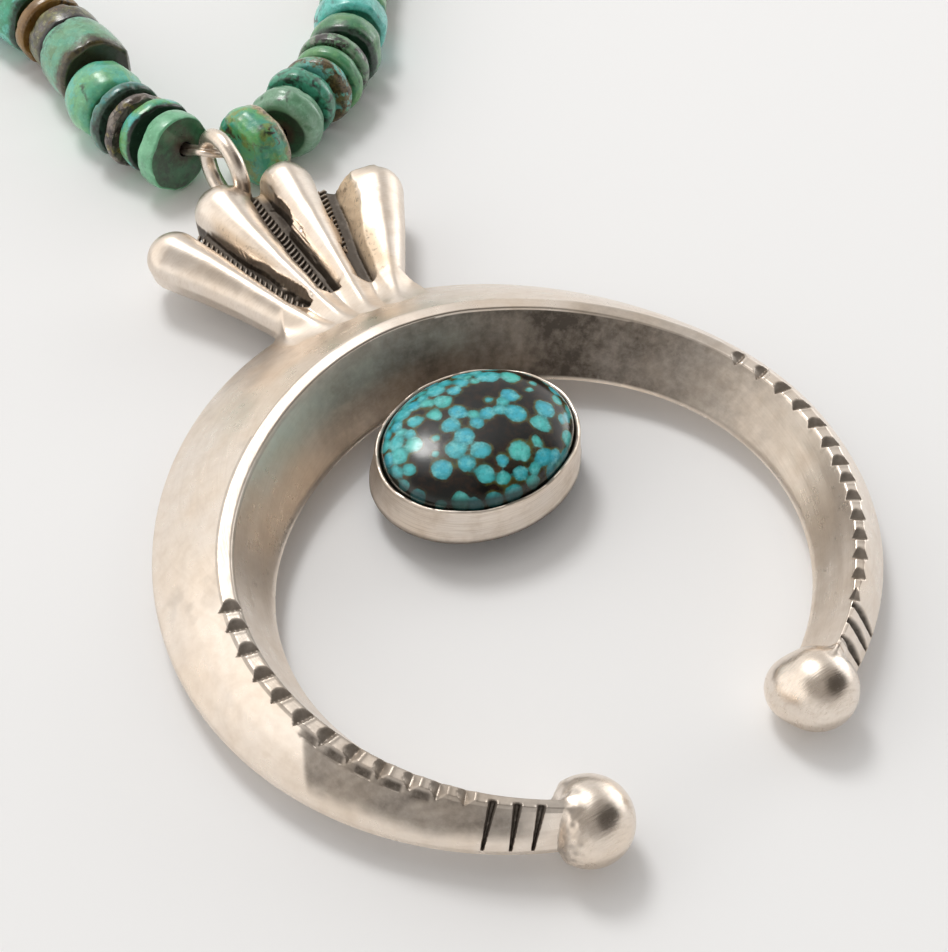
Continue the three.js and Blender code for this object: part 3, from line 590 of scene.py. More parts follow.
def teeth():
    """The combs stamped along the channels: short rounded ribs, slanting in from the left wall"""
    VV, FF, AA, base = [], [], [], 0
    rr = rng(17)
    for ci, C in enumerate(CHANNELS):
        A = np.array(C["axis"], float)
        cum = np.r_[0, np.cumsum(np.linalg.norm(np.diff(A, axis=0), axis=1))]
        lo_, hi_ = {0: (2.2, cum[-1] - 0.1), 1: (3.6, cum[-1] - 0.1), 2: (2.2, 12.0)}[ci]
        a0 = lo_
        while a0 < hi_:
            n = 11
            t = np.linspace(0, 1, n)
            b1 = C["teeth"] + 0.10 * (rr.rand() - 0.5)
            ln = 1.15
            sv = b1 - ln * t
            av = a0 + 0.62 * ln * t + 0.10 * np.sin(np.pi * t)
            av = np.clip(av, 0, cum[-1] - 0.05)
            x = np.interp(av, cum, A[:, 0])
            y = np.interp(av, cum, A[:, 1])
            dx = np.interp(av + 0.3, cum, A[:, 0]) - np.interp(av - 0.3, cum, A[:, 0])
            dy = np.interp(av + 0.3, cum, A[:, 1]) - np.interp(av - 0.3, cum, A[:, 1])
            L = np.hypot(dx, dy) + 1e-9
            dx, dy = dx / L, dy / L
            P = np.stack([x - dy * sv, y + dx * sv], 1)      # s > 0 toward +X when the channel runs toward -Y
            T = np.gradient(P, axis=0)
            T /= np.linalg.norm(T, axis=1)[:, None]
            S = np.stack([-T[:, 1], T[:, 0]], 1)
            hgt = (0.36 + 0.07 * (rr.rand() - 0.5)) * np.clip(np.sin(np.pi * np.clip(t * 2.2 + 0.08, 0, 0.5)), 0.05, 1)
            wid = 0.20 + 0.03 * (rr.rand() - 0.5)
            m = 9
            th = np.linspace(0, np.pi, m)
            ring_ = []
            for k in range(n):
                off = np.cos(th) * wid
                zz = FLOOR_Z - 0.12 + (hgt[k] + 0.12) * np.sin(th) ** 0.8
                ring_.append(np.stack([P[k, 0] + S[k, 0] * off, P[k, 1] + S[k, 1] * off, zz], 1))
            VV.append(np.vstack(ring_))
            F = grid_faces(n, m, False).tolist()
            for k in range(n - 1):
                F.append([k * m, (k + 1) * m, (k + 1) * m + m - 1, k * m + m - 1])
            F.append(list(range(m)))
            F.append(list(range((n - 1) * m, n * m))[::-1])
            FF += [[i + base for i in f] for f in F]
            AA.append(np.tile(np.where(np.sin(th) > 0.85, 0.24, 0.6), n))
            base += n * m
            a0 += PITCH * (1 + 0.10 * (rr.rand() - 0.5))
    return np.vstack(VV), FF, np.concatenate(AA)


# ------------------------------------------------------------------ bezel, stone, ring
BEZ = dict(x=1.1, y=9.1, a=11.0, b=8.86, rot=0.094)


def oval_pt(a, b, th):
    x, y = a * np.cos(th), b * np.sin(th)
    c, s = math.cos(BEZ["rot"]), math.sin(BEZ["rot"])
    return BEZ["x"] + x * c - y * s, BEZ["y"] + x * s + y * c


def bezel():
    n = 256
    th = np.linspace(0, 2 * np.pi, n, endpoint=False)
    prof = [(0.43, 0.0), (0.46, 0.1), (0.46, 0.3), (0.40, 0.42), (0.34, 0.8), (0.26, 1.4), (0.18, 2.0), (0.10, 2.6), (0.04, 3.2), (0.0, 3.7), (-0.03, 3.93), (-0.10, 4.06),
            (-0.2, 4.12), (-0.32, 4.08), (-0.42, 3.98), (-0.5, 3.85), (-0.56, 3.5), (-0.56, 2.4), (-0.56, 0.85)]
    rows = []
    for j, (o, z) in enumerate(prof):
        x, y = oval_pt(BEZ["a"] + o, BEZ["b"] + o, th)
        q = np.stack([x, y, np.full(n, z)], 1)
        wav = 0.07 * np.sin(5 * th + 1.0) + 0.05 * np.sin(11 * th + 2.2) + 0.04 * vnoise(q, 2.2, 31)
        q[:, 2] += wav * sstep(1.5, 4.0, z)
        bump = 0.035 * vnoise(q, 1.8, 32) + 0.015 * vnoise(q, 0.6, 33)
        q[:, 0] += bump * np.cos(th)
        q[:, 1] += bump * np.sin(th)
        rows.append(q)
    # closed floor under the stone and flat back
    V = np.vstack(rows)
    m = len(prof)
    F = [tuple(f) for f in grid_faces(m, n)]
    top_c = len(V)
    V = np.vstack([V, [[BEZ["x"], BEZ["y"], 0.85]], [[BEZ["x"], BEZ["y"], 0.0]]])
    for k in range(n):
        F.append(((m - 1) * n + k, (m - 1) * n + (k + 1) % n, top_c))
        F.append(((k + 1) % n, k, top_c + 1))
    z = V[:, 2]
    ox = 0.5 * sstep(0.6, 0.1, z) + 0.0
    ox[(m - 4) * n:m * n] = 0.8
    return V, F, ox


# centres (pendant frame) and half sizes of the stone's dark, sparse areas
DARKS = [(4.6, 12.4, 3.0, 1.5), (1.6, 12.4, 1.8, 0.9), (0.9, 7.2, 2.6, 1.5), (-5.6, 4.2, 2.9, 1.9), (-3.6, 2.6, 1.6, 1.3), (0.8, 2.9, 1.6, 0.9), (-8.0, 6.4, 1.5, 1.3), (-1.6, 11.4, 1.2, 0.8), (5.4, 5.0, 1.2, 0.8), (8.2, 9.6, 1.0, 0.8)]


def sparse_at(x, y):
    """How sparse the islands are: 1 in the middle of a dark area, 0 outside"""
    out = np.zeros(np.shape(x))
    for bx, by, sx, sy in DARKS:
        out = np.maximum(out, sstep(1.08, 0.62, np.hypot((x - bx) / sx, (y - by) / sy)))
    return out


def islands():
    """Seeded round islands of four sizes that crowd into clusters and run together: x, y, radius, hue"""
    rr = rng(97)
    out = np.zeros((0, 4))
    for lo_, hi_, tries, gap in ((0.76, 1.12, 500, 0.80), (0.52, 0.80, 1600, 0.86), (0.32, 0.54, 1500, 0.98), (0.14, 0.28, 500, 1.5)):
        for _ in range(tries):
            a, q = rr.rand() * 2 * math.pi, math.sqrt(rr.rand())
            x, y = oval_pt((BEZ["a"] + 0.6) * q, (BEZ["b"] + 0.6) * q, a)
            rad, hue = lo_ + (hi_ - lo_) * rr.rand(), rr.rand()
            sp = float(sparse_at(x, y))
            cl = float(vnoise(np.array([[x, y, 0.0]]), 2.6, 88)[0])
            if cl < (-0.22 if rad > 0.52 else -0.42) or sp > (0.25 if rad > 0.5 else 0.7):
                continue
            g = gap * (1 + 1.3 * sp + 0.55 * float(sstep(0.15, -0.3, cl)))
            if len(out) and np.any(np.hypot(out[:, 0] - x, out[:, 1] - y) < g * (out[:, 2] + rad)):
                continue
            out = np.vstack([out, [x, y, rad, hue]])
    return out


def island_field(V):
    """Signed distance-like height above the islands' merged edge, and the hue of the nearest"""
    I = islands()
    dx, dy = V[:, 0] - BEZ["x"], V[:, 1] - BEZ["y"]
    out = 0.75 * np.clip(5.9 - V[:, 2], 0, 2.2) / np.maximum(np.hypot(dx, dy), 1.0)
    x = V[:, 0] + dx * out + 0.20 * vnoise(V, 1.25, 81) + 0.07 * vnoise(V, 0.45, 82)
    y = V[:, 1] + dy * out + 0.20 * vnoise(V, 1.25, 83) + 0.07 * vnoise(V, 0.45, 84)
    acc, best, hue = np.zeros(len(V)), np.full(len(V), -9.0), np.zeros(len(V))
    k = 0.17
    for ix, iy, ir, ih in I:
        d = ir - np.hypot(x - ix, y - iy)
        acc += np.exp(np.clip(d / k, -30, 12))
        hue = np.where(d > best, ih, hue)
        best = np.maximum(best, d)
    return k * np.log(acc + 1e-12), hue


def stone():
    n, m = 400, 96
    th = np.linspace(0, 2 * np.pi, n, endpoint=False)
    a0, b0 = BEZ["a"] - 0.62, BEZ["b"] - 0.62
    rows = []
    prof = [(1.0, 1.15), (1.0, 2.0), (1.0, 3.0), (1.0, 3.6)]
    for t in np.linspace(0, 1, m)[1:-1]:
        f = math.cos(t * math.pi / 2) ** 0.86
        zz = 3.6 + 3.35 * math.sin(t * math.pi / 2) ** 0.9
        prof.append((f, zz))
    for f, zz in prof:
        x, y = oval_pt(a0 * f, b0 * f, th)
        q = np.stack([x, y, np.full(n, zz)], 1)
        q[:, 2] += sstep(3.6, 4.4, zz) * (0.05 * vnoise(q, 5.0, 41))
        rows.append(q)
    V = np.vstack(rows)
    M = len(prof)
    F = [tuple(f) for f in grid_faces(M, n)]
    V = np.vstack([V, [[BEZ["x"], BEZ["y"], V[(M - 1) * n:, 2].mean() + 0.01]], [[BEZ["x"], BEZ["y"], 1.15]]])
    for k in range(n):
        F.append(((M - 1) * n + k, (M - 1) * n + (k + 1) % n, M * n))
        F.append(((k + 1) % n, k, M * n + 1))
    f, hue = island_field(V)
    return V, F, {"isl": np.clip(f / 1.6 + 0.5, 0, 1), "hue": hue, "sparse": sparse_at(V[:, 0], V[:, 1])}


RING = dict(x=-1.5, y=57.7, z=4.1, R=3.8, w=0.95, yaw=4)


def ring():
    n, m = 128, 28
    a = np.linspace(0, 2 * np.pi, n, endpoint=False)
    b = np.linspace(0, 2 * np.pi, m, endpoint=False)
    A, B = np.meshgrid(a, b, indexing="ij")
    q = np.stack([np.cos(A) * 9, np.sin(A) * 9, A * 0], -1)
    w = RING["w"] * (1 + 0.03 * vnoise(q, 3.0, 51))
    R = RING["R"] + w * np.cos(B)
    y, z, x = R * np.cos(A), R * np.sin(A), w * np.sin(B)
    c, s = math.cos(math.radians(RING["yaw"])), math.sin(math.radians(RING["yaw"]))
    X = np.stack([RING["x"] + x * c - y * s, RING["y"] + x * s + y * c, RING["z"] + z], -1)
    X += 0.025 * vnoise(X, 1.6, 52)[..., None]
    F = grid_faces(n, m, True, True)
    return X.reshape(-1, 3), F


# ------------------------------------------------------------------ strand
SEEN = [
    ("L", -3.91, 65.99, 107.0, -6.3, 4.65, 2.4), ("L", -4.36, 69.62, 99.7, -3.0, 4.59, 2.27),
    ("L", -5.64, 71.58, 99.7, -2.9, 4.64, 1.39), ("L", -6.18, 73.71, 101.0, -4.8, 4.69, 2.01),
    ("L", -6.53, 78.50, 91.8, 0.0, 4.49, 5.46), ("L", -5.74, 85.72, 90.6, -3.3, 4.82, 6.74),
    ("L", -5.69, 91.52, 92.2, 0.6, 4.53, 3.59), ("L", -6.41, 94.97, 98.4, 1.2, 4.60, 1.67),
    ("L", -7.30, 98.62, 103.9, -0.6, 4.60, 4.20),
    ("R", 4.60, 62.28, 13.0, 2.7, 4.56, 4.90), ("R", 10.34, 64.70, 39.9, -0.8, 4.35, 4.45),
    ("R", 13.51, 67.10, 43.1, -4.6, 4.41, 2.47), ("R", 16.54, 68.21, 42.4, -3.6, 4.42, 2.01),
    ("R", 18.77, 69.47, 41.3, -1.9, 4.44, 2.07), ("R", 20.49, 71.13, 41.3, -1.9, 4.54, 2.08),
    ("R", 23.63, 73.60, 49.9, -1.5, 4.51, 4.00), ("R", 26.97, 77.93, 61.3, 0.0, 4.57, 4.61)]
ROUTE = np.array([[-7.3, 98.62], [-13.2, 121], [-19.5, 148], [-22.6, 177.8], [-16.8, 206.7], [-1.2, 232.1], [23, 249.4],
                  [50.7, 253.4], [77.3, 243.6], [95.8, 222.8], [103.9, 196.3], [101.6, 168.5], [90, 143.1], [71.5, 122.3],
                  [51.9, 106.4], [36.5, 91.6], [26.97, 77.93]])
CLASP_LEN, CLASP_R, GAP = 13.0, 2.7, 0.3


def route_dense():
    pts, out = ROUTE, []
    for i in range(len(pts) - 1):
        p1, p2 = pts[i], pts[i + 1]
        p0 = pts[i - 1] if i else 2 * p1 - p2
        p3 = pts[i + 2] if i + 2 < len(pts) else 2 * p2 - p1
        u = np.linspace(0, 1, 200, endpoint=False)[:, None]
        v0, v1 = (p2 - p0) / 2, (p3 - p1) / 2
        out.append((2 * p1 - 2 * p2 + v0 + v1) * u ** 3 + (-3 * p1 + 3 * p2 - 2 * v0 - v1) * u ** 2 + v0 * u + p1)
    return np.vstack(out + [pts[-1:]])


_RD = route_dense()
_RS = np.r_[0, np.cumsum(np.linalg.norm(np.diff(_RD, axis=0), axis=1))]
ROUTE_LEN = _RS[-1]


def route_at(s):
    x, y = np.interp(s, _RS, _RD[:, 0]), np.interp(s, _RS, _RD[:, 1])
    x1, y1 = np.interp(s + 0.4, _RS, _RD[:, 0]), np.interp(s + 0.4, _RS, _RD[:, 1])
    x0, y0 = np.interp(s - 0.4, _RS, _RD[:, 0]), np.interp(s - 0.4, _RS, _RD[:, 1])
    return x, y, math.atan2(y1 - y0, x1 - x0)


def jnoise(i, k):
    s = math.sin(i * 127.1 + k * 311.7) * 43758.5453
    return s - math.floor(s)


def all_beads(side):
    beads = [dict(side=s, x=x, y=y, yaw=math.radians(ya), pitch=math.radians(p), r=r, t=t) for s, x, y, ya, p, r, t in SEEN if s == side]
    k = 1 if side == "L" else 2
    end = ROUTE_LEN / 2 - CLASP_LEN / 2 - 0.6
    s = beads[-1]["t"] / 2 + GAP + 0.1
    i = 0
    while True:
        t = 2.6 + 3.2 * jnoise(i, k)
        if s + t > end:
            break
        along = s + t / 2 if side == "L" else ROUTE_LEN - s - t / 2
        x, y, yaw = route_at(along)
        beads.append(dict(side=side, x=x, y=y, yaw=yaw if side == "L" else yaw + math.pi, pitch=0.0, r=4.3 + 0.4 * jnoise(i, k + 2), t=t))
        s += t + GAP + 0.1
        i += 1
    return beads


def bead_frame(b):
    cp, sp = math.cos(b["pitch"]), math.sin(b["pitch"])
    axis = np.array([cp * math.cos(b["yaw"]), cp * math.sin(b["yaw"]), sp])
    side = np.array([-math.sin(b["yaw"]), math.cos(b["yaw"]), 0.0])
    up = np.cross(axis, side)
    z = FLOOR + b["r"] * cp + b["t"] / 2 * abs(sp)
    return axis, side, up, np.array([b["x"], b["y"], z])


def bead_mesh(b, seed, style, nseg=72, fine=True):
    """A hand-cut drilled disc: rounded rim, flats and chips, uneven faces"""
    rr = rng(seed)
    r, h = b["r"], b["t"] / 2
    hole = 0.95
    bev = min(style.get("bevel", 0.55), h * 0.75)
    bulge = style.get("bulge", 0.12)
    na = 7 if fine else 3
    prof = []      # (kind, rho, zeta) rho 0..1 from the hole to the rim
    for t in np.linspace(0, 1, 6 if fine else 3):
        prof.append((hole + (r - bev - hole) * t, -h, 0))
    for t in np.linspace(0, np.pi / 2, na)[1:]:
        prof.append((r - bev + bev * math.sin(t), -h + bev * (1 - math.cos(t)), 1))
    for t in np.linspace(0, 1, 7 if fine else 3)[1:-1]:
        zz = (-h + bev) + (2 * h - 2 * bev) * t
        prof.append((r + bulge * math.sin(math.pi * t) * min(1, h / 2), zz, 1))
    for t in np.linspace(np.pi / 2, 0, na)[:-1]:
        prof.append((r - bev + bev * math.sin(t), h - bev * (1 - math.cos(t)), 1))
    for t in np.linspace(1, 0, 6 if fine else 3):
        prof.append((hole + (r - bev - hole) * t, h, 2))
    for t in (0.33, 0.66):
        prof.append((hole, h - 2 * h * t, 3))
    P = np.array(prof)
    th = np.linspace(0, 2 * np.pi, nseg, endpoint=False)
    m = len(P)
    rho = P[:, 0][:, None] * np.ones((1, nseg))
    zet = P[:, 1][:, None] * np.ones((1, nseg))
    # outline: slow lobes and a few ground flats
    f = np.ones(nseg)
    for k in (2, 3, 5):
        f += style.get("lump", 0.012) / k * 2 * rr.randn() * np.cos(k * th + rr.rand() * 7)
    fl = np.ones(nseg) * 9
    for _ in range(style.get("flats", 3)):
        t0, dk = rr.rand() * 2 * np.pi, 1 - (0.01 + style.get("flat", 0.05) * rr.rand())
        c = np.cos(th - t0)
        fl = np.minimum(fl, np.where(c > 0.3, dk / np.maximum(c, 0.3), 9))
    kk = 0.02
    f = np.minimum(f, 1.0)
    hmix = np.clip(0.5 + 0.5 * (fl - f) / kk, 0, 1)
    f = fl + (f - fl) * hmix - kk * hmix * (1 - hmix)
    w = sstep(hole, r, rho)
    rho = rho * (1 - w) + rho * f[None, :] * w
    # wedge and unevenness of the faces, never proud of the plain disc by more than a hair
    wedge = style.get("wedge", 0.0)
    wa = style.get("wedge_at", rr.rand() * 6.28)
    sc = rho / r
    near = sstep(0.2 * h, -h, zet)
    far = sstep(-0.2 * h, h, zet)
    zet = zet + near * wedge * h * (0.5 + 0.5 * sc * np.cos(th[None, :] - wa)) - far * wedge * h * 0.5 * (0.5 + 0.5 * sc * np.cos(th[None, :] - wa - 2.1))
    if style.get("dome"):
        zet = zet + style["dome"] * near * sc ** 2
    axis, side, up, c = bead_frame(b)
    b["off"] = style["off"][0] * side + style["off"][1] * up if "off" in style else np.zeros(3)
    X = c + rho[..., None] * (np.cos(th)[None, :, None] * side + np.sin(th)[None, :, None] * up) + zet[..., None] * axis
    # low-relief surface: bumps and little chips at the rims
    nrm_r = np.cos(th)[None, :, None] * side + np.sin(th)[None, :, None] * up
    n1 = vnoise(X, 1.7, seed % 37 + 60)
    n2 = vnoise(X, 0.7, seed % 31 + 20)
    amp = style.get("rough", 1.0)
    rim = sstep(r - bev * 1.3, r - bev * 0.2, P[:, 0])[:, None]
    d = -(0.05 * (n1 * 0.5 + 0.5) + 0.03 * (n2 * 0.5 + 0.5)) * amp
    chip = -0.30 * style.get("chip", 0.6) * sstep(0.35, 0.75, vnoise(X, 1.1, seed % 29 + 5)) * rim * sstep(0.25, 0.9, np.abs(P[:, 1]) / h)[:, None]
    X = X + nrm_r * (d + chip)[..., None] * (P[:, 2] != 3)[:, None, None]
    side_w = (P[:, 2] == 0)[:, None] * 1.0 - (P[:, 2] == 2)[:, None] * 1.0
    X = X + axis * (np.abs(d) * side_w)[..., None]
    F = grid_faces(m, nseg, True, True)
    face_near = ((P[:, 2] == 0) * 1.0)[:, None] * np.ones((1, nseg))
    k = np.argmax(P[:, 2] == 1)
    edge = np.exp(-((np.abs(zet) / h - 1) / 0.35) ** 2) * rim
    holea = sstep(hole + 1.2, hole, rho)
    if "off" in style:
        shift = sstep(r * 0.9, hole, rho)[..., None]
        X = X + shift * (style["off"][0] * side + style["off"][1] * up)
    return X.reshape(-1, 3), F, face_near.reshape(-1), edge.reshape(-1), holea.reshape(-1), (P[:, 1][:, None] / h * np.ones((1, nseg))).reshape(-1)


def tube(points, radius, nring=10, close=False, twist=0.0, strands=1, offset=0.0, steps=6):
    """Tube along a smooth curve through points; several strands may be laid round it"""
    P = np.array(points, float)
    out = []
    n = len(P)
    for i in range(n - 1):
        p0 = P[i - 1] if i else 2 * P[0] - P[1]
        p3 = P[i + 2] if i + 2 < n else 2 * P[-1] - P[-2]
        p1, p2 = P[i], P[i + 1]
        k = max(2, int(np.linalg.norm(p2 - p1) * steps))
        u = np.linspace(0, 1, k, endpoint=False)[:, None]
        t01, t12, t23 = [max(np.linalg.norm(b - a), 1e-6) ** 0.5 for a, b in ((p0, p1), (p1, p2), (p2, p3))]
        m1 = (p2 - p1) + t12 * ((p1 - p0) / t01 - (p2 - p0) / (t01 + t12))
        m2 = (p2 - p1) + t12 * ((p3 - p2) / t23 - (p3 - p1) / (t12 + t23))
        out.append((2 * p1 - 2 * p2 + m1 + m2) * u ** 3 + (-3 * p1 + 3 * p2 - 2 * m1 - m2) * u ** 2 + m1 * u + p1)
    C = np.vstack(out + [P[-1:]])
    T = np.gradient(C, axis=0)
    T /= np.linalg.norm(T, axis=1)[:, None]
    up = np.array([0, 0, 1.0])
    S = np.cross(T, up)
    S /= np.linalg.norm(S, axis=1)[:, None]
    U = np.cross(S, T)
    L = np.r_[0, np.cumsum(np.linalg.norm(np.diff(C, axis=0), axis=1))]
    Vs, Fs, base = [], [], 0
    for k in range(strands):
        a = twist * L + 2 * np.pi * k / strands
        cen = C + offset * (np.cos(a)[:, None] * S + np.sin(a)[:, None] * U)
        b = np.linspace(0, 2 * np.pi, nring, endpoint=False)
        X = cen[:, None] + radius * (np.cos(b)[None, :, None] * S[:, None] + np.sin(b)[None, :, None] * U[:, None])
        nn = len(C)
        Vs.append(X.reshape(-1, 3))
        F = [tuple(f + base) for f in grid_faces(nn, nring)[:, ::-1]]
        F.append(tuple(base + i for i in range(nring)))
        F.append(tuple(base + (nn - 1) * nring + i for i in reversed(range(nring))))
        Fs += F
        base += nn * nring
    return np.vstack(Vs), Fs


# ------------------------------------------------------------------ materials
def new_mat(name):
    m = bpy.data.materials.new(name)
    m.use_nodes = True
    nt = m.node_tree
    bsdf = nt.nodes["Principled BSDF"]
    return m, nt, bsdf


class N:
    """Small helper to wire shader nodes"""
    def __init__(self, nt):
        self.nt = nt

    def node(self, kind, **kw):
        n = self.nt.nodes.new(kind)
        for k, v in kw.items():
            setattr(n, k, v)
        return n

    def link(self, a, b):
        self.nt.links.new(a, b)

    def val(self, sock, v):
        if hasattr(v, "is_output") or isinstance(v, bpy.types.NodeSocket):
            self.link(v, sock)
        else:
            sock.default_value = v

    def coord(self, scale=1.0, offset=(0, 0, 0), rot=(0, 0, 0), squash=(1, 1, 1)):
        t = self.node("ShaderNodeTexCoord")
        m = self.node("ShaderNodeMapping")
        m.inputs["Location"].default_value = offset
        m.inputs["Rotation"].default_value = rot
        m.inputs["Scale"].default_value = (1000 * scale * squash[0], 1000 * scale * squash[1], 1000 * scale * squash[2])
        self.link(t.outputs["Object"], m.inputs["Vector"])
        return m.outputs[0]

    def noise(self, vec, scale, detail=4.0, rough=0.55, distort=0.0):
        n = self.node("ShaderNodeTexNoise")
        self.link(vec, n.inputs["Vector"])
        n.inputs["Scale"].default_value = scale
        n.inputs["Detail"].default_value = detail
        n.inputs["Roughness"].default_value = rough
        n.inputs["Distortion"].default_value = distort
        return n.outputs["Fac"]

    def noisec(self, vec, scale, detail=3.0):
        n = self.node("ShaderNodeTexNoise")
        self.link(vec, n.inputs["Vector"])
        n.inputs["Scale"].default_value = scale
        n.inputs["Detail"].default_value = detail
        return n.outputs["Color"]

    def vor(self, vec, scale, feature="DISTANCE_TO_EDGE", rand=1.0, out=0):
        n = self.node("ShaderNodeTexVoronoi", feature=feature)
        self.link(vec, n.inputs["Vector"])
        n.inputs["Scale"].default_value = scale
        n.inputs["Randomness"].default_value = rand
        return n.outputs[out]

    def ramp(self, fac, stops, interp="LINEAR"):
        n = self.node("ShaderNodeValToRGB")
        n.color_ramp.interpolation = interp
        e = n.color_ramp.elements
        while len(e) < len(stops):
            e.new(0.5)
        for el, (p, c) in zip(e, stops):
            el.position = p
            el.color = (c, c, c, 1) if isinstance(c, (int, float)) else (*c, 1)
        self.val(n.inputs[0], fac)
        return n.outputs[0]

    def math(self, op, a, b=0.0, c=0.0, clamp=False):
        n = self.node("ShaderNodeMath", operation=op, use_clamp=clamp)
        self.val(n.inputs[0], a)
        self.val(n.inputs[1], b)
        if len(n.inputs) > 2:
            self.val(n.inputs[2], c)
        return n.outputs[0]

    def mix(self, fac, a, b, blend="MIX"):
        n = self.node("ShaderNodeMix", data_type="RGBA", blend_type=blend)
        self.val(n.inputs[0], fac)
        for s, v in ((n.inputs[6], a), (n.inputs[7], b)):
            if isinstance(v, bpy.types.NodeSocket):
                self.link(v, s)
            else:
                s.default_value = (*v, 1)
        return n.outputs[2]

    def mixf(self, fac, a, b):
        n = self.node("ShaderNodeMix", data_type="FLOAT")
        self.val(n.inputs[0], fac)
        self.val(n.inputs[2], a)
        self.val(n.inputs[3], b)
        return n.outputs[0]

    def vadd(self, vec, col, amount):
        s = self.node("ShaderNodeVectorMath", operation="SUBTRACT")
        self.link(col, s.inputs[0])
        s.inputs[1].default_value = (0.5, 0.5, 0.5)
        m = self.node("ShaderNodeVectorMath", operation="SCALE")
        self.link(s.outputs[0], m.inputs[0])
        m.inputs["Scale"].default_value = amount
        a = self.node("ShaderNodeVectorMath", operation="ADD")
        self.link(vec, a.inputs[0])
        self.link(m.outputs[0], a.inputs[1])
        return a.outputs[0]

    def attr(self, name):
        n = self.node("ShaderNodeAttribute", attribute_name=name)
        return n.outputs["Fac"]

    def bump(self, height, strength, dist, normal=None):
        n = self.node("ShaderNodeBump")
        n.inputs["Strength"].default_value = strength
        n.inputs["Distance"].default_value = dist
        self.link(height, n.inputs["Height"])
        if normal is not None:
            self.link(normal, n.inputs["Normal"])
        return n.outputs[0]


def srgb(r, g, b):
    f = lambda v: (v / 255 / 12.92) if v / 255 <= 0.04045 else ((v / 255 + 0.055) / 1.055) ** 2.4
    return (f(r), f(g), f(b))


def silver(name, base=(0.86, 0.775, 0.69), rough=0.27, ox_attr=True, pit=False, tarnish=0.30, brush=None, brush_amt=0.5, streak=0.20):
    """Hand-finished silver: slight warm tarnish, fine brushing, blackened recesses and painted shade by the ox
    attribute
    """
    m, nt, bs = new_mat(name)
    n = N(nt)
    co = n.coord()
    big = n.noise(co, 0.16, 3, 0.5)
    mid = n.noise(co, 0.55, 5, 0.62)
    fine = n.noise(co, 4.0, 4, 0.65)
    if brush:
        cb = n.node("ShaderNodeCombineXYZ")
        n.link(n.math("MULTIPLY", n.attr("bu"), brush[0]), cb.inputs[0])
        n.link(n.math("MULTIPLY", n.attr("bv"), brush[1]), cb.inputs[1])
        bru = n.noise(cb.outputs[0], 1.0, 3, 0.6, 0.25)
    else:
        bru = n.noise(n.coord(rot=(0.3, 0.2, 0.6), squash=(0.3, 3.2, 1.2)), 1.6, 3, 0.55)
    col = n.mix(n.ramp(big, [(0.35, 0.0), (0.7, 1.0)]), base, tuple(c * k for c, k in zip(base, (0.97, 0.93, 0.88))))
    col = n.mix(n.math("MULTIPLY", n.ramp(mid, [(0.46, 0.0), (0.78, 1.0)]), tarnish), col, (0.50, 0.38, 0.27))
    col = n.mix(n.math("MULTIPLY", n.ramp(bru, [(0.48, 0.0), (0.70, 1.0)]), streak), col, (0.50, 0.40, 0.31))
    rgh = n.math("ADD", n.math("ADD", rough - 0.10, n.math("MULTIPLY", mid, 0.16)), n.math("MULTIPLY", bru, 0.08))
    metal = 1.0
    if ox_attr:
        ox = n.attr("ox")
        brk = n.noise(co, 1.3, 5, 0.65)
        mask = n.math("MULTIPLY", ox, n.ramp(brk, [(0.2, 0.8), (0.62, 1.12)]), clamp=True)
        mask = n.ramp(mask, [(0.03, 0.0), (0.30, 0.55), (0.62, 1.0)])
        col = n.mix(mask, col, (0.085, 0.068, 0.053))
        rgh = n.mixf(mask, rgh, 0.46)
        metal = n.mixf(mask, 1.0, 0.45)
    if pit:
        p = n.attr("pit")
        v = n.ramp(n.noise(co, 1.7, 4, 0.7, 0.6), [(0.54, 0.0), (0.66, 1.0)])
        pm = n.math("MULTIPLY", p, v, clamp=True)
        col = n.mix(n.math("MULTIPLY", p, 0.9), col, (0.74, 0.57, 0.39))
        col = n.mix(n.math("MULTIPLY", pm, 0.62), col, (0.12, 0.085, 0.055))
        rgh = n.mixf(p, rgh, 0.50)
        metal = n.mixf(p, metal, 0.20)
    n.val(bs.inputs["Base Color"], col)
    n.val(bs.inputs["Roughness"], rgh)
    n.val(bs.inputs["Metallic"], metal)
    b1 = n.bump(fine, 0.12, 0.00002)
    b2 = n.bump(bru, brush_amt, 0.000028, b1)
    b3 = n.bump(mid, 0.20, 0.00008, b2)
    n.val(bs.inputs["Normal"], b3)
    return m


